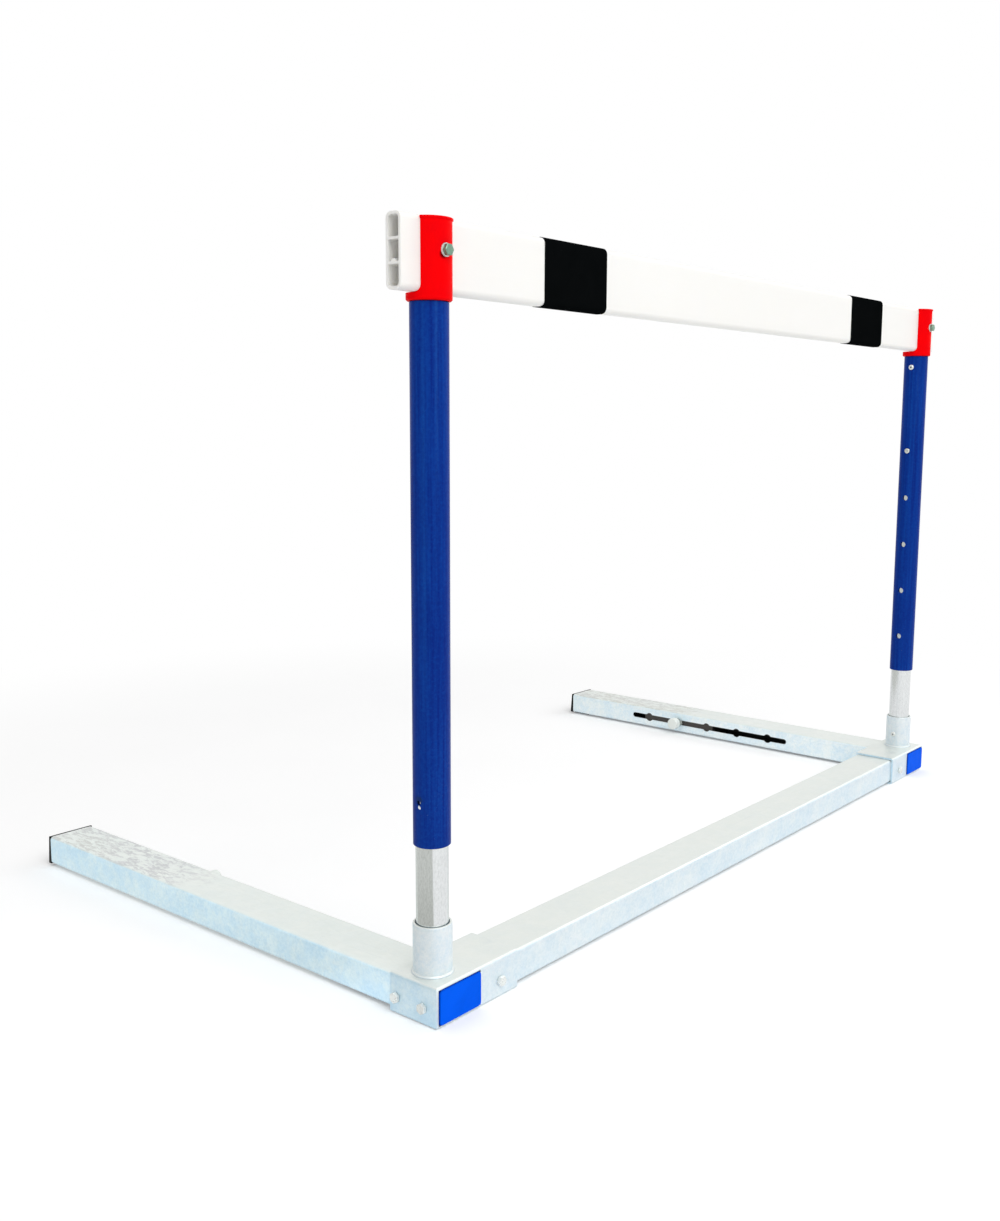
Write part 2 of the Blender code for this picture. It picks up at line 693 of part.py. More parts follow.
def inward_rivet(name, side, radius, height, grip, looks, body):
    """A rivet whose head lies on the inward side of an upright tube."""
    place = (side * (POST_X - radius - SEAT_GAP), POST_Y, height)
    add(name, rivet(grip + SEAT_GAP), looks["zinc"], body, place, facing((-side, 0, 0)))


def strip_outline(centres, thickness):
    """The outline of a strip of even thickness along a bent centre line."""
    left = []
    right = []
    last = len(centres) - 1
    for number, point in enumerate(centres):
        before = Vector(centres[max(number - 1, 0)])
        after = Vector(centres[min(number + 1, last)])
        along = (after - before).normalized()
        across = Vector((-along.y, along.x)) * thickness / 2
        left.append(tuple(Vector(point) + across))
        right.append(tuple(Vector(point) - across))
    return left + right[::-1]


def snap_spring(name, side, looks, base):
    """V-shaped leaf inside the post that pushes the button out."""
    front = BUTTON_BACK - SEAT_GAP - LEAF_THICKNESS / 2
    chord = math.sqrt(POST_INNER_RADIUS**2 - (LEAF_WIDTH / 2) ** 2)
    back = -(chord - SEAT_GAP - LEAF_THICKNESS / 2)
    bottom = LEAF_BEND_RADIUS - LEAF_LENGTH
    centres = [(front, LEAF_TIP), (front, -LEAF_TIP)]
    centres += arc((0, bottom), LEAF_BEND_RADIUS, 0, -180, 6)
    centres += [(back, -LEAF_TIP), (back, LEAF_TIP)]
    outline = [(-side * x, z) for x, z in strip_outline(centres, LEAF_THICKNESS)]
    shape = leaf_prism(outline, LEAF_WIDTH)
    place = (side * POST_X, POST_Y, BUTTON_Z)
    add(f"snap_spring_{name}", shape, looks["spring"], base, place, ALONG_MINUS_Y)


def snap_button(name, side, looks, body):
    """Domed button through the post and the sleeve, with a flange behind the post's wall."""
    profile = [
        (BUTTON_FLANGE_RADIUS, BUTTON_BACK),
        (BUTTON_FLANGE_RADIUS, BUTTON_SHOULDER),
        (BUTTON_RADIUS, BUTTON_SHOULDER),
        (BUTTON_RADIUS, BUTTON_TIP - BUTTON_DOME),
        (BUTTON_RADIUS * 0.8, BUTTON_TIP - BUTTON_DOME / 3),
        (BUTTON_RADIUS * 0.4, BUTTON_TIP),
    ]
    place = (side * POST_X, POST_Y, BUTTON_Z)
    shape = turned(profile, SMALL_SIDES)
    add(f"snap_button_{name}", shape, looks["zinc"], body, place, facing((-side, 0, 0)))


def upright_sleeve(name, side, looks, body):
    """Blue tube with five locking holes facing inward and a vent hole on its outer side."""
    place = (side * POST_X, POST_Y, 0)
    profile = tube_profile(
        SLEEVE_RADIUS, SLEEVE_INNER_RADIUS, SLEEVE_BOTTOM_Z, SLEEVE_TOP_Z - SEAT_GAP, SLEEVE_EDGE
    )
    shape = turned(profile, closed=True)
    item = add(f"upright_sleeve_{name}", shape, looks["sleeve"], body, place)
    inward = side * (POST_X - SLEEVE_RADIUS)
    heights = [BUTTON_Z - HEIGHT_PITCH * number for number in range(HEIGHT_COUNT)]
    places = [(inward, POST_Y, height) for height in heights]
    depth = 2 * CUT_MARGIN
    holes = rods(BUTTON_HOLE_RADIUS, places, (1, 0, 0), depth)
    cut(item, f"height_holes_{name}", holes, body)
    hole = rods(RIVET_HOLE_RADIUS, [(inward, POST_Y, CAP_RIVET_Z)], (1, 0, 0), depth)
    cut(item, f"sleeve_rivet_cutter_{name}", hole, body)
    outward = side * (POST_X + SLEEVE_RADIUS)
    vent = rods(VENT_RADIUS, [(outward, POST_Y, SLEEVE_BOTTOM_Z + VENT_RISE)], (1, 0, 0), depth)
    cut(item, f"vent_cutter_{name}", vent, body)


def bar_outline(grow=0.0):
    return rounded_rectangle(
        BAR_THICKNESS + 2 * grow, BAR_HEIGHT + 2 * grow, BAR_CORNER + grow, 4
    )


def top_cap(name, side, looks, body):
    """Red plug for the sleeve: a ledge for the bar and a half-round wall with a lip in front of it."""
    cap_top = BAR_TOP_LOWEST - CAP_BELOW_BAR_TOP
    bore_top = SLEEVE_TOP_Z - SEAT_GAP
    profile = [
        (CAP_RADIUS + CAP_LIP - CAP_LIP_EDGE, cap_top),
        (CAP_RADIUS + CAP_LIP, cap_top - CAP_LIP_EDGE),
        (CAP_RADIUS + CAP_LIP, cap_top - CAP_LIP_HEIGHT),
        (CAP_RADIUS, cap_top - CAP_LIP_HEIGHT - CAP_LIP),
        (CAP_RADIUS, SLEEVE_TOP_Z + CAP_EDGE),
        (CAP_RADIUS - CAP_EDGE, SLEEVE_TOP_Z),
        (SPIGOT_RADIUS, SLEEVE_TOP_Z),
        (SPIGOT_RADIUS, SLEEVE_TOP_Z - CAP_SPIGOT + CAP_EDGE),
        (SPIGOT_RADIUS - CAP_EDGE, SLEEVE_TOP_Z - CAP_SPIGOT),
    ]
    place = (side * POST_X, POST_Y, 0)
    item = add(f"top_cap_{name}", turned(profile), looks["cap"], body, place)
    bore = rods(
        SPIGOT_BORE,
        [(side * POST_X, POST_Y, bore_top - CAP_SPIGOT)],
        (0, 0, 1),
        2 * CAP_SPIGOT,
        ROUND_SIDES,
    )
    cut(item, f"spigot_bore_{name}", bore, body)
    seat_y = BAR_FRONT_Y - SEAT_GAP
    seat_z = BAR_BOTTOM_Z - SEAT_GAP
    corner = BAR_CORNER + SEAT_GAP
    behind = POST_Y + CAP_RADIUS + CUT_MARGIN
    above = BAR_TOP_LOWEST + CUT_MARGIN
    seat = arc((seat_y + corner, seat_z + corner), corner, 180, 270, 4)
    seat += [(behind, seat_z), (behind, above), (seat_y, above)]
    shape = leaf_prism(seat, 2 * (CAP_RADIUS + CUT_MARGIN))
    cut(item, f"bar_seat_{name}", shape, body, (side * POST_X, 0, 0), ALONG_X)
    bolt = rods(
        BOLT_HOLE_RADIUS, [(side * POST_X, POST_Y - CAP_RADIUS, BAR_BOLT_Z)], (0, 1, 0),
        2 * CAP_RADIUS,
    )
    cut(item, f"cap_bolt_cutter_{name}", bolt, body)
    face = rods(
        SPOT_FACE_RADIUS,
        [(side * POST_X, SPOT_FACE_Y - CUT_MARGIN, BAR_BOLT_Z)],
        (0, 1, 0),
        2 * CUT_MARGIN,
        24,
    )
    cut(item, f"spot_face_{name}", face, body)
    inward = side * (POST_X - SPIGOT_RADIUS)
    hole = rods(RIVET_HOLE_RADIUS, [(inward, POST_Y, CAP_RIVET_Z)], (1, 0, 0), 2 * CUT_MARGIN)
    cut(item, f"spigot_rivet_cutter_{name}", hole, body)


def chamber_outlines():
    """The bar's three chambers in (Y, Z); the middle one has a half-round port on its floor."""
    width = BAR_THICKNESS - 2 * BAR_WALL
    height = (BAR_HEIGHT - 2 * BAR_WALL - 2 * BAR_WEB) / 3
    corner = BAR_CORNER - BAR_WALL
    half = width / 2
    small = BAR_WEB / 2
    outlines = []
    for number in range(3):
        low = -BAR_HEIGHT / 2 + BAR_WALL + number * (height + BAR_WEB)
        high = low + height
        below = corner if number == 0 else small
        above = corner if number == 2 else small
        outline = arc((half - above, high - above), above, 0, 90, CORNER_STEPS)
        outline += arc((-half + above, high - above), above, 90, 180, CORNER_STEPS)
        outline += arc((-half + below, low + below), below, 180, 270, CORNER_STEPS)
        if number == 1:
            outline += arc((0, low), BAR_PORT_RADIUS, 180, 0, 6)
        outline += arc((half - below, low + below), below, 270, 360, CORNER_STEPS)
        outlines.append(outline)
    return outlines


def top_bar(looks, body):
    """White hollow profile, open at both ends, bolted to the caps."""
    middle_z = BAR_BOTTOM_Z + BAR_HEIGHT / 2
    place = (0, BAR_Y, middle_z)
    shape = leaf_prism(bar_outline(), BAR_LENGTH)
    item = add("top_bar", shape, looks["bar"], body, place, ALONG_X)
    for number, outline in enumerate(chamber_outlines()):
        chamber = leaf_prism(outline, BAR_LENGTH + 2 * CUT_MARGIN)
        cut(item, f"bar_chamber_{number}", chamber, body, place, ALONG_X)
    places = [(side * POST_X, BAR_Y, BAR_BOLT_Z) for side in SIDES.values()]
    holes = rods(BOLT_HOLE_RADIUS, places, (0, 1, 0), BAR_THICKNESS + 2 * CUT_MARGIN)
    cut(item, "bar_hole_cutter", holes, body)
    for name, side in SIDES.items():
        band_x = side * (BAR_LENGTH / 2 - BAND_FROM_END - BAND_WIDTH / 2)
        outer = bar_outline(SEAT_GAP + BAND_FILM)
        film = hollow_prism(outer, bar_outline(SEAT_GAP), BAND_WIDTH)
        bmesh.ops.translate(film, verts=film.verts, vec=(0, 0, -BAND_WIDTH / 2))
        add(f"bar_band_{name}", film, looks["band"], body, (band_x, BAR_Y, middle_z), ALONG_X)


def washer():
    bore = BOLT_RADIUS + HOLE_CLEARANCE
    return turned(tube_profile(WASHER_RADIUS, bore, 0, WASHER_THICKNESS), 24, closed=True)


def bar_fixings(name, side, looks, body):
    """Screw, two washers and a nut that clamp the bar to the cap."""
    x = side * POST_X
    ahead = (0, -1, 0)
    front = SPOT_FACE_Y - SEAT_GAP
    add(f"bar_washer_front_{name}", washer(), looks["zinc"], body, (x, front, BAR_BOLT_Z),
        facing(ahead))
    rear = BAR_REAR_Y + SEAT_GAP + WASHER_THICKNESS
    add(f"bar_washer_rear_{name}", washer(), looks["zinc"], body, (x, rear, BAR_BOLT_Z),
        facing(ahead))
    head_y = front - WASHER_THICKNESS
    grip = rear - head_y
    names = (f"bar_screw_{name}", f"bar_nut_{name}")
    screwed_joint(names, (x, head_y, BAR_BOLT_Z), ahead, grip, looks, body)


def wall_places(side):
    """X of the leg's inward face, and the direction that points inward from it."""
    return side * LEG_INNER_X, -side


def counterweight(name, side, looks, body):
    """Steel block inside the leg, bored for the locking pin and its spring."""
    place = (side * LEG_X, WEIGHT_Y, TUBE_Z)
    half = Vector((WEIGHT_WIDTH, WEIGHT_LENGTH, WEIGHT_HEIGHT)) / 2
    shape = soften(block(-half, half), WEIGHT_EDGE, lambda edge: True)
    item = add(f"counterweight_{name}", shape, looks["steel"], body, place)
    face_x = side * (LEG_X - WEIGHT_WIDTH / 2)
    bore = rods(
        PIN_FLANGE_RADIUS + PIN_BORE_CLEARANCE,
        [(face_x, WEIGHT_Y, TUBE_Z)],
        (1, 0, 0),
        2 * PIN_BORE_DEPTH,
        24,
    )
    cut(item, f"pin_bore_{name}", bore, body)


def lock_pin(name, side, looks, body):
    """Steel pin: its collar fills a round bay of the slot, and its stem runs in the slot."""
    wall_x, inward = wall_places(side)
    collar_back = -TUBE_WALL - SEAT_GAP
    flange_back = collar_back - PIN_FLANGE
    collar_radius = DETENT_RADIUS - PIN_COLLAR_CLEARANCE
    stem_end = KNOB_STANDOFF + PIN_IN_KNOB
    profile = [
        (PIN_RADIUS, flange_back - PIN_TAIL),
        (PIN_RADIUS, flange_back),
        (PIN_FLANGE_RADIUS, flange_back),
        (PIN_FLANGE_RADIUS, collar_back),
        (collar_radius, collar_back),
        (collar_radius, PIN_COLLAR_PROUD),
        (PIN_RADIUS, PIN_COLLAR_PROUD),
        (PIN_RADIUS, stem_end),
    ]
    place = (wall_x, WEIGHT_Y, TUBE_Z)
    shape = turned(profile, 24)
    add(f"lock_pin_{name}", shape, looks["zinc"], body, place, facing((inward, 0, 0)))


def weight_knob(name, side, looks, body):
    """White push knob on the pin's stem, with rounded rims and a blind bore."""
    wall_x, inward = wall_places(side)
    end = KNOB_STANDOFF + KNOB_THICKNESS
    bore = PIN_RADIUS + HOLE_CLEARANCE
    bore_end = KNOB_STANDOFF + PIN_IN_KNOB + SEAT_GAP
    rim = arc((KNOB_RADIUS - KNOB_EDGE, end - KNOB_EDGE), KNOB_EDGE, 90, 0, CORNER_STEPS)
    back = arc(
        (KNOB_RADIUS - KNOB_EDGE, KNOB_STANDOFF + KNOB_EDGE), KNOB_EDGE, 0, -90, CORNER_STEPS
    )
    profile = [(PIN_RADIUS / 2, end), *rim, *back]
    profile += [(bore, KNOB_STANDOFF), (bore, bore_end), (PIN_RADIUS / 2, bore_end)]
    place = (wall_x, WEIGHT_Y, TUBE_Z)
    shape = turned(profile, 24)
    add(f"weight_knob_{name}", shape, looks["knob"], body, place, facing((inward, 0, 0)))


def knob_spring(name, side, looks, body):
    """Coil spring between the pin's flange and the bottom of the bore."""
    wall_x, inward = wall_places(side)
    flange_back = -TUBE_WALL - SEAT_GAP - PIN_FLANGE
    bore_end = -TUBE_WALL - WEIGHT_SLACK - PIN_BORE_DEPTH
    first = bore_end + SEAT_GAP + SPRING_WIRE
    last = flange_back - SEAT_GAP - SPRING_WIRE
    count = SPRING_TURNS * SPRING_STEPS + 1
    curve = bpy.data.curves.new(f"knob_spring_{name}", "CURVE")
    curve.dimensions = "3D"
    curve.bevel_depth = SPRING_WIRE
    curve.bevel_resolution = 1
    curve.use_fill_caps = True
    spline = curve.splines.new("POLY")
    spline.points.add(count - 1)
    for number in range(count):
        angle = 2 * math.pi * number / SPRING_STEPS
        along = first + (last - first) * number / (count - 1)
        across = SPRING_RADIUS * math.cos(angle)
        up = SPRING_RADIUS * math.sin(angle)
        spline.points[number].co = (inward * along, across, up, 1)
    curve.materials.append(looks["spring"])
    item = bpy.data.objects.new(f"knob_spring_{name}", curve)
    item.parent = body
    item.location = Vector((wall_x, WEIGHT_Y, TUBE_Z)) - body.location
    bpy.context.collection.objects.link(item)


def build():
    clear_scene()
    looks = paints()
    base = frame_point("base", (0, 0, 0))
    crossbar(looks, base)
    for name, side in SIDES.items():
        leg(name, side, looks, base)
        corner_bracket(name, side, looks, base)
        base_screws(name, side, looks, base)
        front_plug(name, side, looks, base)
        rear_foot(name, side, looks, base)
        post_socket(name, side, looks, base)
        inner_post(name, side, looks, base)
        socket_grip = SOCKET_WALL + SOCKET_GAP + POST_WALL
        inward_rivet(
            f"socket_rivet_{name}", side, SOCKET_RADIUS, SOCKET_RIVET_Z, socket_grip, looks, base
        )
        snap_spring(name, side, looks, base)
        button_body = frame_point(f"snap_{name}", (side * POST_X, POST_Y, BUTTON_Z))
        snap_button(name, side, looks, button_body)
        weight_body = frame_point(f"weight_{name}", (side * LEG_X, WEIGHT_Y, TUBE_Z))
        counterweight(name, side, looks, weight_body)
        knob_spring(name, side, looks, weight_body)
        knob_body = frame_point(f"knob_{name}", (side * LEG_INNER_X, WEIGHT_Y, TUBE_Z))
        lock_pin(name, side, looks, knob_body)
        weight_knob(name, side, looks, knob_body)
    bar_frame = frame_point("bar_frame", (0, POST_Y, BUTTON_Z))
    top_bar(looks, bar_frame)
    for name, side in SIDES.items():
        upright_sleeve(name, side, looks, bar_frame)
        top_cap(name, side, looks, bar_frame)
        bar_fixings(name, side, looks, bar_frame)
        cap_grip = SLEEVE_WALL + CAP_SPIGOT_GAP + CAP_SPIGOT_WALL
        inward_rivet(
            f"cap_rivet_{name}", side, SLEEVE_RADIUS, CAP_RIVET_Z, cap_grip, looks, bar_frame
        )


build()
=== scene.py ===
import math

import bmesh
import bpy
from mathutils import Matrix, Vector


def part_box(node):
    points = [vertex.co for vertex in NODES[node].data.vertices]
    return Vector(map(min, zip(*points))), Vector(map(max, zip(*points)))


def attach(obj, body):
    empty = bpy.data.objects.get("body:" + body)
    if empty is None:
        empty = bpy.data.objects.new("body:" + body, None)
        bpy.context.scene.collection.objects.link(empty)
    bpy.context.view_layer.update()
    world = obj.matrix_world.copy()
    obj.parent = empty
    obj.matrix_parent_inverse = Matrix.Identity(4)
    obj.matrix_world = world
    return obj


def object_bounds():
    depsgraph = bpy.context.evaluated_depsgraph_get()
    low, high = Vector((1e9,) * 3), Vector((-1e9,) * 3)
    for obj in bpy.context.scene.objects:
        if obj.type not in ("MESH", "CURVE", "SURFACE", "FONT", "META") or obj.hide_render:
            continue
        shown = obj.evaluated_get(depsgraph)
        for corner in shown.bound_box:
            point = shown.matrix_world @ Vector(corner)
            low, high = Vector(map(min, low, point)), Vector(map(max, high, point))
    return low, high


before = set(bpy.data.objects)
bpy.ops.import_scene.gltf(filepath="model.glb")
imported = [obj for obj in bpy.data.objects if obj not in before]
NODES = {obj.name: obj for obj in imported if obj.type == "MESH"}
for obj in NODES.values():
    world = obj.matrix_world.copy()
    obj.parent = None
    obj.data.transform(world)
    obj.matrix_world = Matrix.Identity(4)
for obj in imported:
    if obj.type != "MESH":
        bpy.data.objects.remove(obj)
CAD_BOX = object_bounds()
SIDES = ("left", "right")
OUTWARD = {"left": -1, "right": 1}
WHITE = (1.0, 1.0, 1.0)


def middle(node):
    low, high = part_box(node)
    return (low + high) / 2


# The small hole low on the outer side of the left sleeve

POST_LEFT = middle("inner_post_left")
SLEEVE_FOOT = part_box("upright_sleeve_left")[0]
VENT_RISE = 0.0446
VENT_LEFT = Vector((SLEEVE_FOOT.x, POST_LEFT.y, SLEEVE_FOOT.z + VENT_RISE))

# The photograph's camera, in the frame of the CAD, in metres

CAMERA_PLACE = Vector((-1.40871, -1.12550, 0.58050))
CAMERA_LOOK = Vector((0.772721, 0.618683, -0.141895))
CAMERA_ROLL = 0.007304
CAMERA_LENS = 44.802
CAMERA_SENSOR = 36.0
CAMERA_SHIFT = (-0.0421, -0.0118)
CAMERA_CLIP = (0.01, 100.0)


def make_camera():
    level = CAMERA_LOOK.cross(Vector((0.0, 0.0, 1.0))).normalized()
    above = level.cross(CAMERA_LOOK).normalized()
    right = math.cos(CAMERA_ROLL) * level + math.sin(CAMERA_ROLL) * above
    up = -math.sin(CAMERA_ROLL) * level + math.cos(CAMERA_ROLL) * above
    data = bpy.data.cameras.new("photo_camera")
    data.sensor_fit = "HORIZONTAL"
    data.sensor_width = CAMERA_SENSOR
    data.lens = CAMERA_LENS
    data.shift_x, data.shift_y = CAMERA_SHIFT
    data.clip_start, data.clip_end = CAMERA_CLIP
    camera = bpy.data.objects.new("photo_camera", data)
    bpy.context.scene.collection.objects.link(camera)
    turn = Matrix((right, up, -CAMERA_LOOK)).transposed()
    camera.matrix_world = Matrix.Translation(CAMERA_PLACE) @ turn.to_4x4()
    bpy.context.scene.camera = camera


# Node trees: each helper adds nodes and returns the socket that carries its result

EVEN = (1.0, 1.0, 1.0)
NO_SHIFT = (0.0, 0.0, 0.0)


class Graph:
    """The node tree of a material or of the world."""

    def __init__(self, tree):
        self.nodes = tree.nodes
        self.links = tree.links

    def link(self, value, socket):
        if isinstance(value, (int, float)):
            socket.default_value = value
        elif isinstance(value, (tuple, Vector)):
            socket.default_value = (*value, 1.0) if len(socket.default_value) == 4 else value
        else:
            self.links.new(value, socket)

    def spread(self, value, low, high, to_low=0.0, to_high=1.0, smooth=True):
        """Takes the range from low to high to the one from to_low to to_high, and holds its ends."""
        node = self.nodes.new("ShaderNodeMapRange")
        node.interpolation_type = "SMOOTHSTEP" if smooth else "LINEAR"
        node.clamp = True
        limits = {"From Min": low, "From Max": high, "To Min": to_low, "To Max": to_high}
        for key, amount in limits.items():
            node.inputs[key].default_value = amount
        self.link(value, node.inputs["Value"])
        return node.outputs["Result"]

    def calc(self, operation, *values):
        node = self.nodes.new("ShaderNodeMath")
        node.operation = operation
        for value, socket in zip(values, node.inputs):
            self.link(value, socket)
        return node.outputs["Value"]

    def times(self, *values):
        result = values[0]
        for value in values[1:]:
            result = self.calc("MULTIPLY", result, value)
        return result

    def vector(self, operation, *values):
        node = self.nodes.new("ShaderNodeVectorMath")
        node.operation = operation
        for value, socket in zip(values, node.inputs):
            self.link(value, socket)
        return node.outputs["Vector" if operation == "SUBTRACT" else "Value"]

    def blend(self, amount, first, second, kind="MIX"):
        node = self.nodes.new("ShaderNodeMix")
        node.data_type = "RGBA"
        node.blend_type = kind
        for value, socket in zip((amount, first, second), [s for s in node.inputs if s.enabled]):
            self.link(value, socket)
        return [s for s in node.outputs if s.enabled][0]

    def glow(self, kind, colour, strength):
        """An Emission in a material or a Background in a world."""
        node = self.nodes.new(f"ShaderNode{kind}")
        self.link(colour, node.inputs["Color"])
        self.link(strength, node.inputs["Strength"])
        return node.outputs[0]

    def choose(self, amount, first, second):
        """Mixes two shaders."""
        node = self.nodes.new("ShaderNodeMixShader")
        for value, socket in zip((amount, first, second), node.inputs):
            self.link(value, socket)
        return node.outputs[0]


class Finish(Graph):
    """A procedural material in the coordinates of the frame. Keywords set the shader's sockets."""

    def __init__(self, name, **sockets):
        self.material = bpy.data.materials.new(name)
        self.material.use_nodes = True
        super().__init__(self.material.node_tree)
        self.shader = self.nodes["Principled BSDF"]
        for key, value in sockets.items():
            self.shader.inputs[key.replace("_", " ")].default_value = value
        self.place = self.nodes.new("ShaderNodeTexCoord").outputs["Object"]

    def stretched(self, stretch, shift):
        node = self.nodes.new("ShaderNodeMapping")
        node.inputs["Scale"].default_value = stretch
        node.inputs["Location"].default_value = shift
        self.links.new(self.place, node.inputs["Vector"])
        return node.outputs["Vector"]

    def noise(self, scale, detail, roughness=0.55, stretch=EVEN, shift=NO_SHIFT, warp=0.0):
        node = self.nodes.new("ShaderNodeTexNoise")
        node.inputs["Scale"].default_value = scale
        node.inputs["Detail"].default_value = detail
        node.inputs["Roughness"].default_value = roughness
        node.inputs["Distortion"].default_value = warp
        self.links.new(self.stretched(stretch, shift), node.inputs["Vector"])
        return node.outputs["Fac"]

    def cells(self, scale, shift=NO_SHIFT):
        """A random tone for each cell, as in zinc crystals."""
        node = self.nodes.new("ShaderNodeTexVoronoi")
        node.inputs["Scale"].default_value = scale
        self.links.new(self.stretched(EVEN, shift), node.inputs["Vector"])
        parts = self.nodes.new("ShaderNodeSeparateColor")
        self.links.new(node.outputs["Color"], parts.inputs["Color"])
        return parts.outputs["Red"]

    def part(self, vector, axis):
        node = self.nodes.new("ShaderNodeSeparateXYZ")
        self.links.new(vector, node.inputs["Vector"])
        return node.outputs[axis]

    def along(self, axis):
        return self.part(self.place, axis)

    def facing(self, axis):
        return self.part(self.nodes.new("ShaderNodeNewGeometry").outputs["Normal"], axis)

    def away(self, point):
        """The distance from a point of the frame."""
        return self.vector("DISTANCE", self.place, point)

    def around(self, point, reach, ragged, scale):
        """1 close to a point of the frame and 0 from reach on, with a ragged edge."""
        edge = self.times(self.calc("SUBTRACT", self.noise(scale, 2.0, 0.6), 0.5), ragged)
        return self.spread(self.calc("ADD", self.away(point), edge), 0.85 * reach, reach, 1.0, 0.0)

    def bump(self, height, strength, distance):
        node = self.nodes.new("ShaderNodeBump")
        node.inputs["Strength"].default_value = strength
        node.inputs["Distance"].default_value = distance
        self.link(height, node.inputs["Height"])
        return node.outputs["Normal"]

    def done(self, colour, roughness, normal):
        self.link(colour, self.shader.inputs["Base Color"])
        self.link(roughness, self.shader.inputs["Roughness"])
        self.link(normal, self.shader.inputs["Normal"])
        return self.material


# Finishes: colours are linear, the scales of noise are per metre, and distances are in metres.
# BORE_DEPTH is how deep under a leg's outer faces its bore begins, just short of the wall's
# thickness. The next two place a painted shadow on a red cap, out from the middle and up from
# the foot of a bar washer.

ZINC = {
    "deep": (0.655, 0.785, 0.865),
    "pale": (0.80, 0.865, 0.885),
    "bright spangle": (0.88, 0.94, 0.95),
    "dark spangle": (0.52, 0.65, 0.72),
    # Warmer greys for upward faces: painted warm light from above.
    "mottle": (0.96, 0.98, 0.98),
    "top light deep": (0.77, 0.80, 0.75),
    "top light pale": (0.83, 0.845, 0.79),
    "run": (0.56, 0.62, 0.65),
    "worn cool": (0.50, 0.50, 0.52),
    "worn warm": (0.56, 0.56, 0.51),
    "fleck": (0.97, 0.98, 0.96),
    # Near black for the inside of a leg's tube: painted shade.
    "bore": (0.045, 0.045, 0.043),
}
# Tints for the faces toward the left and right, one for each leg: painted bluer light from the side.
CORNER_SIDE_LIGHT = (0.85, 0.985, 1.07)
LEG_SIDE_LIGHT = {"left": (0.93, 1.04, 1.11), "right": (1.06, 1.08, 1.09)}
SOCKET_TONE = (1.01, 1.0, 0.995)
BORE_DEPTH = 0.00138
SHADOW_OUT = 0.0034
SHADOW_UP = 0.0022


def worn_top(f, colour, patches, top):
    """Rubbed grey patches and pale flecks on the upper face of a leg, mostly at its rear."""
    edge = f.calc("MULTIPLY_ADD", f.noise(30.0, 4.0, 0.7), 0.12, f.along("Y"))
    rear = f.times(f.spread(edge, 0.11, 0.18, 0.06, 1.0), top)
    rubs = f.noise(1.0, 6.0, 0.7, stretch=(210.0, 66.0, 60.0), warp=0.5)
    worn = f.blend(f.spread(patches, 0.4, 0.6), ZINC["worn cool"], ZINC["worn warm"])
    colour = f.blend(f.times(rear, f.spread(rubs, 0.44, 0.57), 0.86), colour, worn)
    flecks = f.noise(1.0, 5.0, 0.8, stretch=(420.0, 150.0, 60.0), shift=(1.0, 3.0, 0.0))
    return f.blend(f.times(rear, f.spread(flecks, 0.55, 0.66), 0.65), colour, ZINC["fleck"])


def painted_bore_shade(f, leg):
    """1 on the inner faces of a leg's tube, painted near black as shade, and 0 on its outer ones."""
    low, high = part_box(leg)
    across, upright = (
        f.calc(
            "LESS_THAN",
            f.calc("ABSOLUTE", f.calc("SUBTRACT", f.along(axis), (start + end) / 2)),
            (end - start) / 2 - BORE_DEPTH,
        )
        for axis, start, end in (("X", low.x, high.x), ("Z", low.z, high.z))
    )
    return f.times(across, upright)


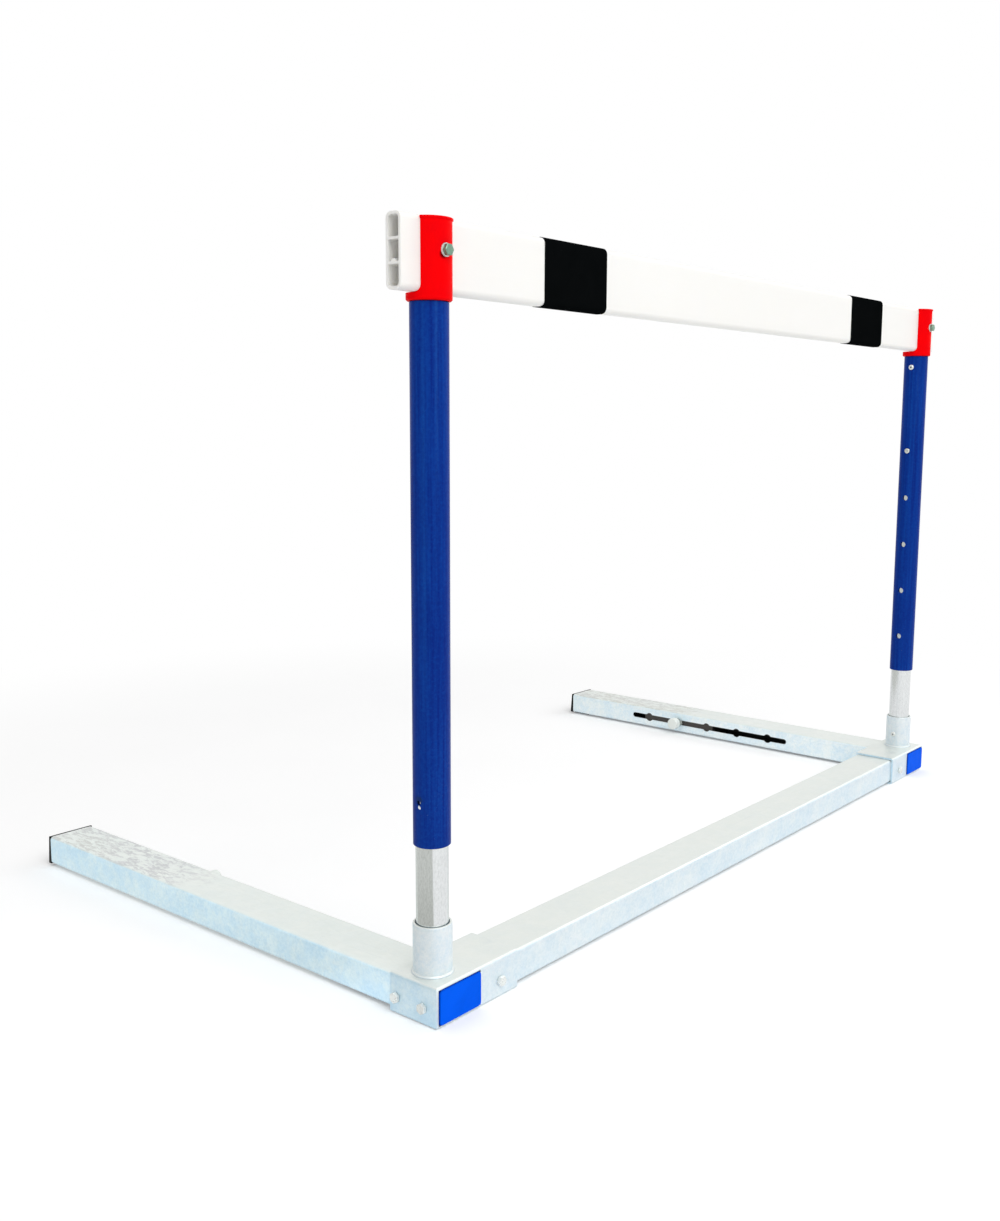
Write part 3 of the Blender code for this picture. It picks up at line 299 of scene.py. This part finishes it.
def galvanised_finish(
    name, streaks, spangles=0.20, tone=WHITE, side=None, cloud=22.0, metallic=0.55, leg=None
):
    """Zinc with soft spangle, clouds and runs.

    streaks stretches the runs, spangles is the strength of the crystals, tone tints the whole,
    side paints a bluer, mottled light on the faces toward the left and right, and cloud is the
    scale of the clouds. Upward faces get a warmer grey, painted light from above. leg names a
    leg, whose bore is painted near black as shade and whose upper face is worn.
    """
    f = Finish(name, Metallic=metallic)
    spangle = f.cells(110.0, shift=(0.3, 0.1, 0.7))
    small_spangle = f.cells(420.0)
    clouds = f.noise(cloud, 6.0, 0.75, warp=0.3)
    mottles = f.noise(240.0, 4.0, 0.75, shift=(2.0, 5.0, 1.0))
    grain = f.noise(950.0, 2.0)
    patches = f.noise(3.0, 3.0, 0.6, shift=(4.0, 0.0, 2.0))
    colour = f.blend(f.spread(clouds, 0.3, 0.72), ZINC["deep"], ZINC["pale"])
    colour = f.blend(f.spread(spangle, 0.1, 0.9, 0.0, spangles), colour, ZINC["bright spangle"])
    colour = f.blend(f.spread(small_spangle, 0.4, 1.0, 0.0, 0.8 * spangles), colour, ZINC["dark spangle"])
    colour = f.blend(f.spread(mottles, 0.40, 0.64, 0.0, 0.28), colour, ZINC["mottle"])
    colour = f.blend(1.0, colour, tone, "MULTIPLY")
    # Faces toward the left and right are tinted bluer and paler in blotches: painted light from the side.
    if side is not None:
        side_light_mask = f.spread(f.calc("ABSOLUTE", f.facing("X")), 0.5, 0.95)
        paler_side_light = (1.11 * side[0], 1.05 * side[1], side[2])
        blotches = f.noise(48.0, 5.0, 0.75, shift=(6.0, 2.0, 3.0))
        shade = f.blend(f.spread(blotches, 0.40, 0.62), side, paler_side_light)
        colour = f.blend(side_light_mask, colour, f.blend(1.0, colour, shade, "MULTIPLY"))
    # Upward faces are blended toward a warmer grey: painted warm light from above. The same mask places
    # the wear on a leg's top.
    top = f.spread(f.facing("Z"), 0.35, 0.95, 0.0, 0.80)
    colour = f.blend(top, colour, f.blend(clouds, ZINC["top light deep"], ZINC["top light pale"]))
    runs = f.noise(1.0, 5.0, 0.65, stretch=streaks)
    colour = f.blend(f.spread(runs, 0.57, 0.80, 0.0, 0.24), colour, ZINC["run"])
    rough = f.spread(spangle, 0.0, 1.0, 0.34, 0.50)
    rough = f.calc("ADD", rough, f.spread(patches, 0.3, 0.7, -0.04, 0.08))
    if leg is not None:
        colour = worn_top(f, colour, patches, top)
        # The bore is painted near black: painted shade inside the tube.
        bore = painted_bore_shade(f, leg)
        colour = f.blend(bore, colour, ZINC["bore"])
        rough = f.calc("MAXIMUM", rough, f.times(bore, 0.8))
    height = f.calc("ADD", f.times(clouds, 0.6), f.times(grain, 0.10))
    return f.done(colour, rough, f.bump(height, 0.35, 0.0006))


def drawn_tube_finish():
    f = Finish("drawn_bright_tube", Metallic=1.0)
    lines = f.noise(1.0, 3.0, 0.6, stretch=(700.0, 700.0, 3.0))
    clouds = f.noise(14.0, 3.0, 0.6)
    grain = f.noise(1.0, 5.0, 0.75, stretch=(900.0, 900.0, 260.0))
    colour = f.blend(lines, (0.72, 0.745, 0.75), (0.88, 0.90, 0.905))
    colour = f.blend(f.spread(grain, 0.42, 0.66, 0.0, 0.55), colour, (0.58, 0.60, 0.60))
    rough = f.calc("ADD", f.spread(lines, 0.2, 0.8, 0.07, 0.11), f.spread(clouds, 0.3, 0.7, 0.0, 0.03))
    wave = f.calc("ADD", f.times(lines, 0.5), clouds)
    return f.done(colour, rough, f.bump(wave, 0.18, 0.0004))


def zinc_finish(name, tint, metallic=0.95):
    f = Finish(name, Metallic=metallic)
    patches = f.noise(160.0, 4.0, 0.65)
    grain = f.noise(1500.0, 2.0)
    darker = tuple(0.72 * value for value in tint)
    colour = f.blend(f.spread(patches, 0.35, 0.75), tint, darker)
    rough = f.spread(patches, 0.2, 0.8, 0.20, 0.38)
    return f.done(colour, rough, f.bump(grain, 0.2, 0.0002))


def powder_coat_finish():
    """Blue with lines along the tube and scuffs low down. At the low hole, a dark patch above is
    painted shadow and a pale spot below is a painted glint.
    """
    f = Finish("blue_powder_coat", Specular_IOR_Level=0.05)
    peel = f.noise(420.0, 2.0, 0.5)
    lines = f.noise(1.0, 4.0, 0.65, stretch=(300.0, 300.0, 7.0))
    clouds = f.noise(9.0, 4.0, 0.6)
    mottle = f.noise(330.0, 3.0, 0.75)
    colour = f.blend(f.spread(lines, 0.25, 0.75), (0.0010, 0.018, 0.205), (0.0030, 0.050, 0.320))
    colour = f.blend(f.spread(clouds, 0.3, 0.75, 0.0, 0.45), colour, (0.0012, 0.020, 0.21))
    colour = f.blend(f.spread(mottle, 0.50, 0.66, 0.0, 0.22), colour, (0.0040, 0.070, 0.37))
    colour = f.blend(f.spread(mottle, 0.36, 0.50, 0.25, 0.0), colour, (0.0010, 0.014, 0.17))
    low = f.spread(f.along("Z"), 0.17, 0.27, 1.0, 0.0)
    scuffs = f.times(f.spread(f.noise(210.0, 6.0, 0.75), 0.665, 0.71), low)
    colour = f.blend(scuffs, colour, (0.30, 0.42, 0.60))
    # A dark patch above the low hole is painted shadow, and a pale spot below it is a painted glint.
    hole_shadow = f.around(VENT_LEFT + Vector((0.0, -0.0006, 0.0030)), 0.0044, 0.009, 800.0)
    hole_glint = f.around(VENT_LEFT + Vector((0.0, -0.0008, -0.0041)), 0.0020, 0.006, 300.0)
    colour = f.blend(f.times(hole_shadow, 0.55), colour, (0.012, 0.030, 0.060))
    colour = f.blend(hole_glint, colour, (0.80, 0.84, 0.86))
    rough = f.calc("ADD", f.spread(clouds, 0.3, 0.7, 0.24, 0.34), f.times(scuffs, 0.3))
    return f.done(colour, rough, f.bump(peel, 0.25, 0.0003))


def moulded_finish(name, colour, deep, gloss, shine, painted_side_shade=None, painted_shadow_places=()):
    """Moulded plastic with fine scratches.

    rim is the colour painted on the narrow faces that turn away from the front, as shade in the
    gap round the piece, and grime lists the places of the frame round which a shadow is painted.
    """
    f = Finish(name, Specular_IOR_Level=shine)
    grain = f.noise(1400.0, 2.0, 0.5)
    clouds = f.noise(30.0, 4.0, 0.6)
    scratches = f.noise(1.0, 4.0, 0.7, stretch=(90.0, 900.0, 300.0))
    shade = f.blend(f.spread(clouds, 0.35, 0.75), colour, deep)
    pale = tuple(min(1.0, value * 1.2 + 0.03) for value in colour)
    shade = f.blend(f.spread(scratches, 0.70, 0.78, 0.0, 0.25), shade, pale)
    # Faces that turn away from the front take the darker colour: painted shade in the gap.
    if painted_side_shade is not None:
        front = f.calc("ABSOLUTE", f.facing("Y"))
        shade = f.blend(f.spread(front, 0.35, 0.97), painted_side_shade, shade)
    # A dark patch round each place: painted shadow cast by the screw.
    for place in painted_shadow_places:
        painted_screw_shadow = f.spread(f.away(place), 0.0020, 0.0052, 0.85, 0.0)
        shade = f.blend(painted_screw_shadow, shade, tuple(0.06 * value for value in colour))
    dull = f.spread(scratches, 0.68, 0.78, 0.0, 0.2)
    rough = f.calc("ADD", f.spread(clouds, 0.3, 0.7, gloss, gloss + 0.08), dull)
    return f.done(shade, rough, f.bump(grain, 0.12, 0.0002))


def profile_finish():
    """Off-white plastic with fine extrusion lines."""
    f = Finish(
        "white_profile",
        Subsurface_Weight=0.35,
        Subsurface_Scale=0.004,
        Subsurface_Radius=(1.0, 0.95, 0.85),
        Specular_IOR_Level=0.08,
    )
    lines = f.noise(1.0, 4.0, 0.65, stretch=(1.5, 900.0, 900.0))
    clouds = f.noise(7.0, 4.0, 0.6)
    specks = f.noise(300.0, 6.0, 0.8)
    colour = f.blend(clouds, (0.868, 0.858, 0.826), (0.900, 0.892, 0.864))
    colour = f.blend(f.spread(lines, 0.35, 0.75, 0.0, 0.25), colour, (0.87, 0.86, 0.83))
    colour = f.blend(f.spread(specks, 0.72, 0.78, 0.0, 0.4), colour, (0.60, 0.59, 0.56))
    rough = f.spread(lines, 0.2, 0.8, 0.30, 0.42)
    return f.done(colour, rough, f.bump(lines, 0.10, 0.0002))


def tape_finish():
    """Black tape with faint ripples and dust."""
    f = Finish("black_tape", Specular_IOR_Level=0.0)
    ripple = f.noise(1.0, 3.0, 0.6, stretch=(500.0, 60.0, 60.0))
    clouds = f.noise(40.0, 4.0, 0.6)
    dust = f.noise(700.0, 5.0, 0.8)
    colour = f.blend(clouds, (0.0019, 0.0024, 0.0026), (0.0036, 0.0042, 0.0045))
    colour = f.blend(f.spread(dust, 0.68, 0.76, 0.0, 0.12), colour, (0.10, 0.10, 0.10))
    rough = f.spread(clouds, 0.3, 0.7, 0.34, 0.50)
    return f.done(colour, rough, f.bump(ripple, 0.25, 0.0003))


def cast_steel_finish():
    f = Finish("dull_steel", Metallic=0.6)
    scale = f.noise(70.0, 5.0, 0.65)
    grain = f.noise(900.0, 3.0)
    colour = f.blend(scale, (0.035, 0.032, 0.030), (0.115, 0.105, 0.098))
    rough = f.spread(scale, 0.3, 0.7, 0.45, 0.65)
    return f.done(colour, rough, f.bump(f.calc("ADD", scale, f.times(grain, 0.2)), 0.4, 0.0005))


def screw_shadow_places():
    """The places on the caps just below and outside the bar screws, round which a shadow is painted."""
    places = []
    for side in SIDES:
        low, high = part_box(f"bar_washer_front_{side}")
        places.append(((low.x + high.x) / 2 + SHADOW_OUT * OUTWARD[side], high.y, low.z + SHADOW_UP))
    return places


# Which finish each piece gets: by the record's material slot, or by its own name where it differs

RED = ((0.92, 0.0010, 0.0026), (0.84, 0.0010, 0.0040))
BLUE = ((0.0010, 0.115, 0.90), (0.0009, 0.100, 0.80))
# Darker blue for a plug's side faces: painted shade in the gap round it.
BLUE_PAINTED_SIDE_SHADE = (0.0008, 0.022, 0.26)
BLACK = ((0.010, 0.010, 0.011), (0.006, 0.006, 0.007))
KNOB_WHITE = ((0.86, 0.905, 0.865), (0.80, 0.845, 0.80))
PALE_FASTENERS = (
    "leg_screw_front", "leg_screw_rear", "crossbar_screw", "socket_rivet", "cap_rivet", "bar_washer_front"
)


def slot_finishes():
    return {
        "galvanised": galvanised_finish("galvanised_corners", (30.0, 30.0, 90.0), side=CORNER_SIDE_LIGHT),
        "zinc": zinc_finish("zinc_plate", (0.80, 0.82, 0.78)),
        "steel": cast_steel_finish(),
        "spring": zinc_finish("spring_steel", (0.42, 0.42, 0.43)),
        "sleeve": powder_coat_finish(),
        "cap": moulded_finish("red_moulding", *RED, 0.30, 0.01, painted_shadow_places=screw_shadow_places()),
        "plug": moulded_finish("blue_moulding", *BLUE, 0.30, 0.008, painted_side_shade=BLUE_PAINTED_SIDE_SHADE),
        "foot": moulded_finish("black_moulding", *BLACK, 0.42, 0.2),
        "bar": profile_finish(),
        "band": tape_finish(),
        "knob": moulded_finish("white_moulding", *KNOB_WHITE, 0.36, 0.3),
    }


def node_finishes():
    bright = drawn_tube_finish()
    sockets = galvanised_finish(
        "galvanised_sockets", (60.0, 60.0, 30.0), spangles=0.05, tone=SOCKET_TONE,
        cloud=75.0, metallic=0.35,
    )
    pale = zinc_finish("pale_zinc", (0.90, 0.93, 0.90), 0.35)
    green = zinc_finish("green_zinc", (0.22, 0.37, 0.27), 0.6)
    special = {"base_crossbar": galvanised_finish("galvanised_crossbar", (5.0, 240.0, 240.0))}
    for side in SIDES:
        special[f"inner_post_{side}"] = bright
        special[f"post_socket_{side}"] = sockets
        special[f"bar_screw_{side}"] = green
        for kind in PALE_FASTENERS:
            special[f"{kind}_{side}"] = pale
        leg = f"leg_{side}"
        special[leg] = galvanised_finish(
            f"galvanised_{leg}", (240.0, 5.0, 240.0), side=LEG_SIDE_LIGHT[side], leg=leg
        )
    return special


def paint_nodes():
    by_slot = slot_finishes()
    by_node = node_finishes()
    for name, node in NODES.items():
        for slot in node.material_slots:
            key = slot.material.name.split(".")[0] if slot.material else ""
            if name in by_node:
                slot.material = by_node[name]
            elif key in by_slot:
                slot.material = by_slot[key]


# Edges: the CAD pieces keep their shape. Their sharp edges are eased and their flat faces
# shaded flat. SHARP and FLAT are in radians and the widths in metres.

SHARP = 0.62
FLAT = 0.004
JOIN_GAP = 0.00002
FLAT_WEIGHT = 90
PLAIN_EDGE = 0.0002
EDGE_WIDTHS = {
    "top_bar": 0.0004,
    "top_cap": 0.0008,
    "upright_sleeve": 0.0004,
    "leg_left": 0.0004,
    "leg_right": 0.0004,
    "base_crossbar": 0.0004,
    "corner_bracket": 0.0005,
    "post_socket": 0.0006,
    "bar_screw": 0.00025,
    "leg_screw": 0.0003,
    "crossbar_screw": 0.0003,
    "leg_front_plug": 0.0010,
    "leg_rear_foot": 0.0010,
    "weight_knob": 0.0008,
    "snap_button": 0.0006,
}


def geometry_group(name):
    """An empty group for a modifier, with the sockets of its start and its end."""
    group = bpy.data.node_groups.new(name, "GeometryNodeTree")
    for way in ("INPUT", "OUTPUT"):
        group.interface.new_socket(name="Geometry", in_out=way, socket_type="NodeSocketGeometry")
    start = group.nodes.new("NodeGroupInput").outputs[0]
    end = group.nodes.new("NodeGroupOutput").inputs[0]
    return group, start, end


def joined_group():
    """Drops the loaded normals and joins the triangles' corners."""
    group, start, end = geometry_group("joined_faces")
    plain = group.nodes.new("GeometryNodeRemoveAttribute")
    plain.inputs["Name"].default_value = "custom_normal"
    merge = group.nodes.new("GeometryNodeMergeByDistance")
    merge.inputs["Distance"].default_value = JOIN_GAP
    group.links.new(start, plain.inputs["Geometry"])
    group.links.new(plain.outputs["Geometry"], merge.inputs["Geometry"])
    group.links.new(merge.outputs["Geometry"], end)
    return group


def smooth_group():
    """Shades smooth apart from the edges that turn by more than SHARP."""
    group, start, end = geometry_group("smooth_faces")
    faces = group.nodes.new("GeometryNodeSetShadeSmooth")
    faces.domain = "FACE"
    edges = group.nodes.new("GeometryNodeSetShadeSmooth")
    edges.domain = "EDGE"
    edges.inputs["Shade Smooth"].default_value = False
    turn = group.nodes.new("GeometryNodeInputMeshEdgeAngle")
    sharp = group.nodes.new("FunctionNodeCompare")
    sharp.data_type = "FLOAT"
    sharp.operation = "GREATER_THAN"
    sharp.inputs["B"].default_value = SHARP
    group.links.new(start, faces.inputs["Geometry"])
    group.links.new(turn.outputs["Unsigned Angle"], sharp.inputs["A"])
    group.links.new(faces.outputs["Geometry"], edges.inputs["Geometry"])
    group.links.new(sharp.outputs["Result"], edges.inputs["Selection"])
    group.links.new(edges.outputs["Geometry"], end)
    return group


def ease_edges():
    joined = joined_group()
    smooth = smooth_group()
    for name, node in NODES.items():
        width = next((width for key, width in EDGE_WIDTHS.items() if name.startswith(key)), PLAIN_EDGE)
        weld = node.modifiers.new("joined", "NODES")
        weld.node_group = joined
        flat = node.modifiers.new("flat", "DECIMATE")
        flat.decimate_type = "DISSOLVE"
        flat.angle_limit = FLAT
        edge = node.modifiers.new("edge", "BEVEL")
        edge.width = width
        edge.segments = 2
        edge.limit_method = "ANGLE"
        edge.angle_limit = SHARP
        edge.use_clamp_overlap = True
        edge.harden_normals = False
        shade = node.modifiers.new("shade", "NODES")
        shade.node_group = smooth
        even = node.modifiers.new("even", "WEIGHTED_NORMAL")
        even.keep_sharp = True
        even.weight = FLAT_WEIGHT


# Small pieces that the CAD leaves out: weld beads, thread turns and dark discs on the rivets,
# which are painted shade for the holes in their heads. The bead's section is in shares of its
# reach and rise, the thread's in metres outward and along the screw, and the disc's in shares
# of its radius and in metres above the rivet's head.

WELD_TURNS = 180
WELD_RIPPLES = 38
WELD_FILLET = 0.0016
WELD_SINK = 0.0003
WELD_REACH = 0.00175
WELD_RISE = 0.0020
WELD_LUMP = 0.00008
WELD_DRIFT_REACH = 0.0002
WELD_DRIFT_RISE = 0.0004
WELD_SECTION = ((-0.5, 0.0), (-0.5, 0.75), (0.0, 1.0), (0.28, 0.70), (0.60, 0.38), (1.0, 0.0))
THREAD_PITCH = 0.0010
THREAD_RADIUS = 0.0030
THREAD_STEPS = 20
THREAD_FADE = 6
THREAD_IN_NUT = 0.0004
THREAD_SHORT = 0.0003
THREAD_SECTION = ((-0.00025, -0.00036), (-0.00025, 0.00036), (0.00022, 0.00004), (0.00022, -0.00004))
HOLE_SHADE_STEPS = 20
CAP_HOLE_SHADE = 0.0017
SOCKET_HOLE_SHADE = 0.0013
HOLE_SHADE_SECTION = ((1.0, -0.00040), (1.0, -0.00008), (0.80, 0.00001), (0.40, 0.00003), (0.02, 0.00003))


def piece(name, rows, closed, material, body):
    """Skins a row of sections, each a list of points, into one tube: a loop, or one with flat ends."""
    across = len(rows[0])
    verts = [point for row in rows for point in row]
    faces = []
    for start in range(len(rows) if closed else len(rows) - 1):
        here = start * across
        there = (start + 1) % len(rows) * across
        for step in range(across):
            after = (step + 1) % across
            faces.append((here + step, there + step, there + after, here + after))
    if not closed:
        last = (len(rows) - 1) * across
        faces.append(tuple(range(across)))
        faces.append(tuple(last + step for step in reversed(range(across))))
    mesh = bpy.data.meshes.new(name)
    mesh.from_pydata(verts, [], faces)
    mesh.validate()
    for face in mesh.polygons:
        face.use_smooth = True
    made = bpy.data.objects.new(name, mesh)
    bpy.context.scene.collection.objects.link(made)
    mesh.materials.append(material)
    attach(made, body)


def weld_bead(side, material):
    """A rippled bead round the foot of a socket."""
    low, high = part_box(f"post_socket_{side}")
    centre = (low + high) / 2
    radius = (high.x - low.x) / 2 - WELD_FILLET
    floor = low.z - WELD_SINK
    rows = []
    for turn in range(WELD_TURNS):
        angle = math.tau * turn / WELD_TURNS
        lump = 0.5 + 0.5 * math.cos(angle * WELD_RIPPLES + 0.7 * math.sin(5 * angle))
        drift = 0.5 + 0.5 * math.sin(3 * angle + 1.1)
        reach = WELD_REACH + WELD_LUMP * lump + WELD_DRIFT_REACH * drift
        rise = WELD_RISE + WELD_LUMP * lump + WELD_DRIFT_RISE * drift
        rows.append([
            (
                centre.x + (radius + out * reach) * math.cos(angle),
                centre.y + (radius + out * reach) * math.sin(angle),
                floor + up * rise,
            )
            for out, up in WELD_SECTION
        ])
    piece(f"weld_bead_{side}", rows, True, material, "base")


def thread_turns(side, material):
    """The turns of thread on the tail of a bar screw behind its nut."""
    centre = middle(f"bar_nut_{side}")
    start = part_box(f"bar_nut_{side}")[1].y - THREAD_IN_NUT
    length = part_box(f"bar_screw_{side}")[1].y - start - THREAD_SHORT
    steps = int(THREAD_STEPS * length / THREAD_PITCH)
    rows = []
    for step in range(steps + 1):
        angle = math.tau * step / THREAD_STEPS
        fade = min(1.0, step / THREAD_FADE, (steps - step) / THREAD_FADE)
        rows.append([
            (
                centre.x + (THREAD_RADIUS + out * fade) * math.cos(angle),
                start + THREAD_PITCH * step / THREAD_STEPS + back * fade,
                centre.z + (THREAD_RADIUS + out * fade) * math.sin(angle),
            )
            for out, back in THREAD_SECTION
        ])
    piece(f"bar_screw_thread_{side}", rows, False, material, "bar_frame")


def shade_in_rivet(kind, side, body, radius, material):
    """A dark disc in the middle of a rivet's domed head, which faces inward: painted shade
    standing for the hole in the head.
    """
    low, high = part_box(f"{kind}_{side}")
    centre = (low + high) / 2
    inward = -OUTWARD[side]
    face = high.x if inward > 0 else low.x
    angles = [math.tau * step / HOLE_SHADE_STEPS for step in range(HOLE_SHADE_STEPS)]
    rows = [
        [
            (
                face + inward * lift,
                centre.y + radius * reach * math.cos(angle),
                centre.z + radius * reach * math.sin(angle),
            )
            for angle in angles
        ]
        for reach, lift in HOLE_SHADE_SECTION
    ]
    piece(f"{kind}_hole_shade_{side}", rows, False, material, body)


def add_small_pieces():
    bead = galvanised_finish(
        "galvanised_weld", (60.0, 60.0, 60.0), spangles=0.05, tone=SOCKET_TONE, metallic=0.35
    )
    thread = zinc_finish("thread_zinc", (0.62, 0.64, 0.60), 0.8)
    # A near-black finish for the discs on the rivets: painted shade in their holes.
    dark = zinc_finish("painted_hole_shade", (0.05, 0.055, 0.06), 0.3)
    for side in SIDES:
        weld_bead(side, bead)
        thread_turns(side, thread)
        shade_in_rivet("cap_rivet", side, "bar_frame", CAP_HOLE_SHADE, dark)
        shade_in_rivet("socket_rivet", side, "base", SOCKET_HOLE_SHADE, dark)


# The studio: a white world, a white floor, two soft lamps for everything and three faint ones
# for single pieces. STUDIO_LEFT and STUDIO_AHEAD are level directions as the camera sees them.

STUDIO_LEFT = (-0.6258, 0.7799, 0.0)
STUDIO_AHEAD = (0.7799, 0.6258, 0.0)
UP = (0.0, 0.0, 1.0)
WALL_LEFT = (0.56, 0.575, 0.57)
WALL_RIGHT = (0.95, 0.985, 1.0)
WORLD_LIGHT = 0.64


def make_world():
    """White to the camera and through glass, pale light on matt faces, and a plain room in gloss."""
    world = bpy.data.worlds.new("studio")
    bpy.context.scene.world = world
    world.use_nodes = True
    world.node_tree.nodes.clear()
    g = Graph(world.node_tree)
    out = g.nodes.new("ShaderNodeOutputWorld")
    ray = g.nodes.new("ShaderNodeLightPath").outputs
    place = g.nodes.new("ShaderNodeTexCoord").outputs["Generated"]
    room = WALL_RIGHT
    for direction, low, high, tone in (
        (STUDIO_LEFT, 0.0, 0.08, WALL_LEFT),
        (STUDIO_AHEAD, 0.35, 0.60, WHITE),
        (UP, 0.35, 0.8, WHITE),
    ):
        room = g.blend(g.spread(g.vector("DOT_PRODUCT", place, direction), low, high), room, tone)
    white = g.glow("Background", WHITE, 1.0)
    soft = g.glow("Background", WHITE, WORLD_LIGHT)
    lit = g.choose(ray["Is Glossy Ray"], soft, g.glow("Background", room, 1.0))
    lit = g.choose(ray["Is Transmission Ray"], lit, white)
    lit = g.choose(ray["Is Camera Ray"], lit, white)
    g.link(lit, out.inputs["Surface"])


def make_lamp(name, place, aim, size, power, colour=WHITE, only=()):
    """A soft disk, or a standing strip when size is (width, height); only lists the nodes it lights.

    A strip is seen only in reflections and a disk with such a list only in diffuse light.
    """
    strip = isinstance(size, tuple)
    data = bpy.data.lights.new(name, "AREA")
    if strip:
        data.shape = "RECTANGLE"
        data.size, data.size_y = size
    else:
        data.shape = "DISK"
        data.size = size
    data.energy = power
    data.color = colour
    lamp = bpy.data.objects.new(name, data)
    lamp.location = place
    lamp.rotation_euler = (Vector(aim) - Vector(place)).to_track_quat("-Z", "Y").to_euler()
    bpy.context.scene.collection.objects.link(lamp)
    if only:
        lamp.visible_diffuse = not strip
        lamp.visible_glossy = strip
        lit = bpy.data.collections.new(f"{name}_lights")
        for node in only:
            lit.objects.link(NODES[node])
        lamp.light_linking.receiver_collection = lit


def make_lamps():
    sleeves = [f"upright_sleeve_{side}" for side in SIDES]
    legs = [f"leg_{side}" for side in SIDES]
    make_lamp("key", (-1.2, -2.6, 3.0), (0.0, 0.0, 0.3), 2.6, 55.0)
    make_lamp("fill", (2.6, -1.6, 2.2), (0.0, 0.0, 0.3), 2.2, 20.0)
    make_lamp(
        "strip_front", (-0.72, -1.85, 0.78), (-0.5, -0.29, 0.55), (0.10, 0.50), 5.0,
        (0.25, 0.80, 1.0), sleeves,
    )
    make_lamp(
        "strip_left", (-2.1, -0.50, 0.40), (-0.56, -0.29, 0.40), (0.30, 0.90), 9.0,
        (0.10, 0.65, 1.0), sleeves,
    )
    make_lamp(
        "low_left", (-2.6, 0.5, 0.9), (0.0, 0.1, 0.05), 1.6, 22.0,
        (0.74, 0.93, 1.0), legs,
    )


# FLOOR_LIFT brightens the floor for the camera alone, so that only the object's shadow shows.
# The card is a grey patch that only gloss shows, darker near the post than far from it.

FLOOR_REACH = 9.0
FLOOR_GAP = 0.0002
FLOOR_LIFT = 0.14
CARD_NEAR = (0.53, 0.54, 0.51)
CARD_FAR = (0.66, 0.67, 0.64)


def floor_finish():
    """White with the object's shadow, plain white far out, and the card to the near post's left."""
    f = Finish("pale_floor", Roughness=0.9, Specular_IOR_Level=0.0)
    ray = f.nodes.new("ShaderNodeLightPath").outputs
    tone = f.blend(f.noise(6.0, 2.0, 0.5), (0.96, 0.96, 0.96), (0.985, 0.985, 0.985))
    f.link(tone, f.shader.inputs["Base Color"])
    lifted = f.nodes.new("ShaderNodeAddShader")
    f.link(f.shader.outputs[0], lifted.inputs[0])
    f.link(f.glow("Emission", WHITE, f.times(ray["Is Camera Ray"], FLOOR_LIFT)), lifted.inputs[1])
    far = f.spread(f.vector("LENGTH", f.place), 0.7, 1.6)
    seen = f.calc("MAXIMUM", ray["Is Camera Ray"], ray["Is Glossy Ray"])
    plain = f.choose(f.times(far, seen), lifted.outputs[0], f.glow("Emission", WHITE, 1.0))
    from_post = f.vector("SUBTRACT", f.place, (POST_LEFT.x, POST_LEFT.y, 0.0))
    distance = f.vector("LENGTH", from_post)
    beside = f.spread(f.vector("DOT_PRODUCT", from_post, STUDIO_LEFT), -0.075, -0.03)
    card = f.times(beside, f.spread(distance, 0.09, 0.17))
    grey = f.blend(f.spread(distance, 0.20, 0.42, smooth=False), CARD_NEAR, CARD_FAR)
    studio = f.choose(f.times(card, ray["Is Glossy Ray"]), plain, f.glow("Emission", grey, 1.0))
    f.link(studio, f.nodes["Material Output"].inputs["Surface"])
    return f.material


def make_floor():
    mesh = bpy.data.meshes.new("floor")
    grid = bmesh.new()
    bmesh.ops.create_grid(grid, x_segments=24, y_segments=24, size=FLOOR_REACH)
    grid.to_mesh(mesh)
    grid.free()
    mesh.materials.append(floor_finish())
    floor = bpy.data.objects.new("floor", mesh)
    floor.location = (0.0, 0.0, CAD_BOX[0][2] - FLOOR_GAP)
    bpy.context.scene.collection.objects.link(floor)


scene = bpy.context.scene
scene.view_settings.view_transform = "Standard"
make_camera()
make_world()
make_lamps()
make_floor()
paint_nodes()
ease_edges()
add_small_pieces()
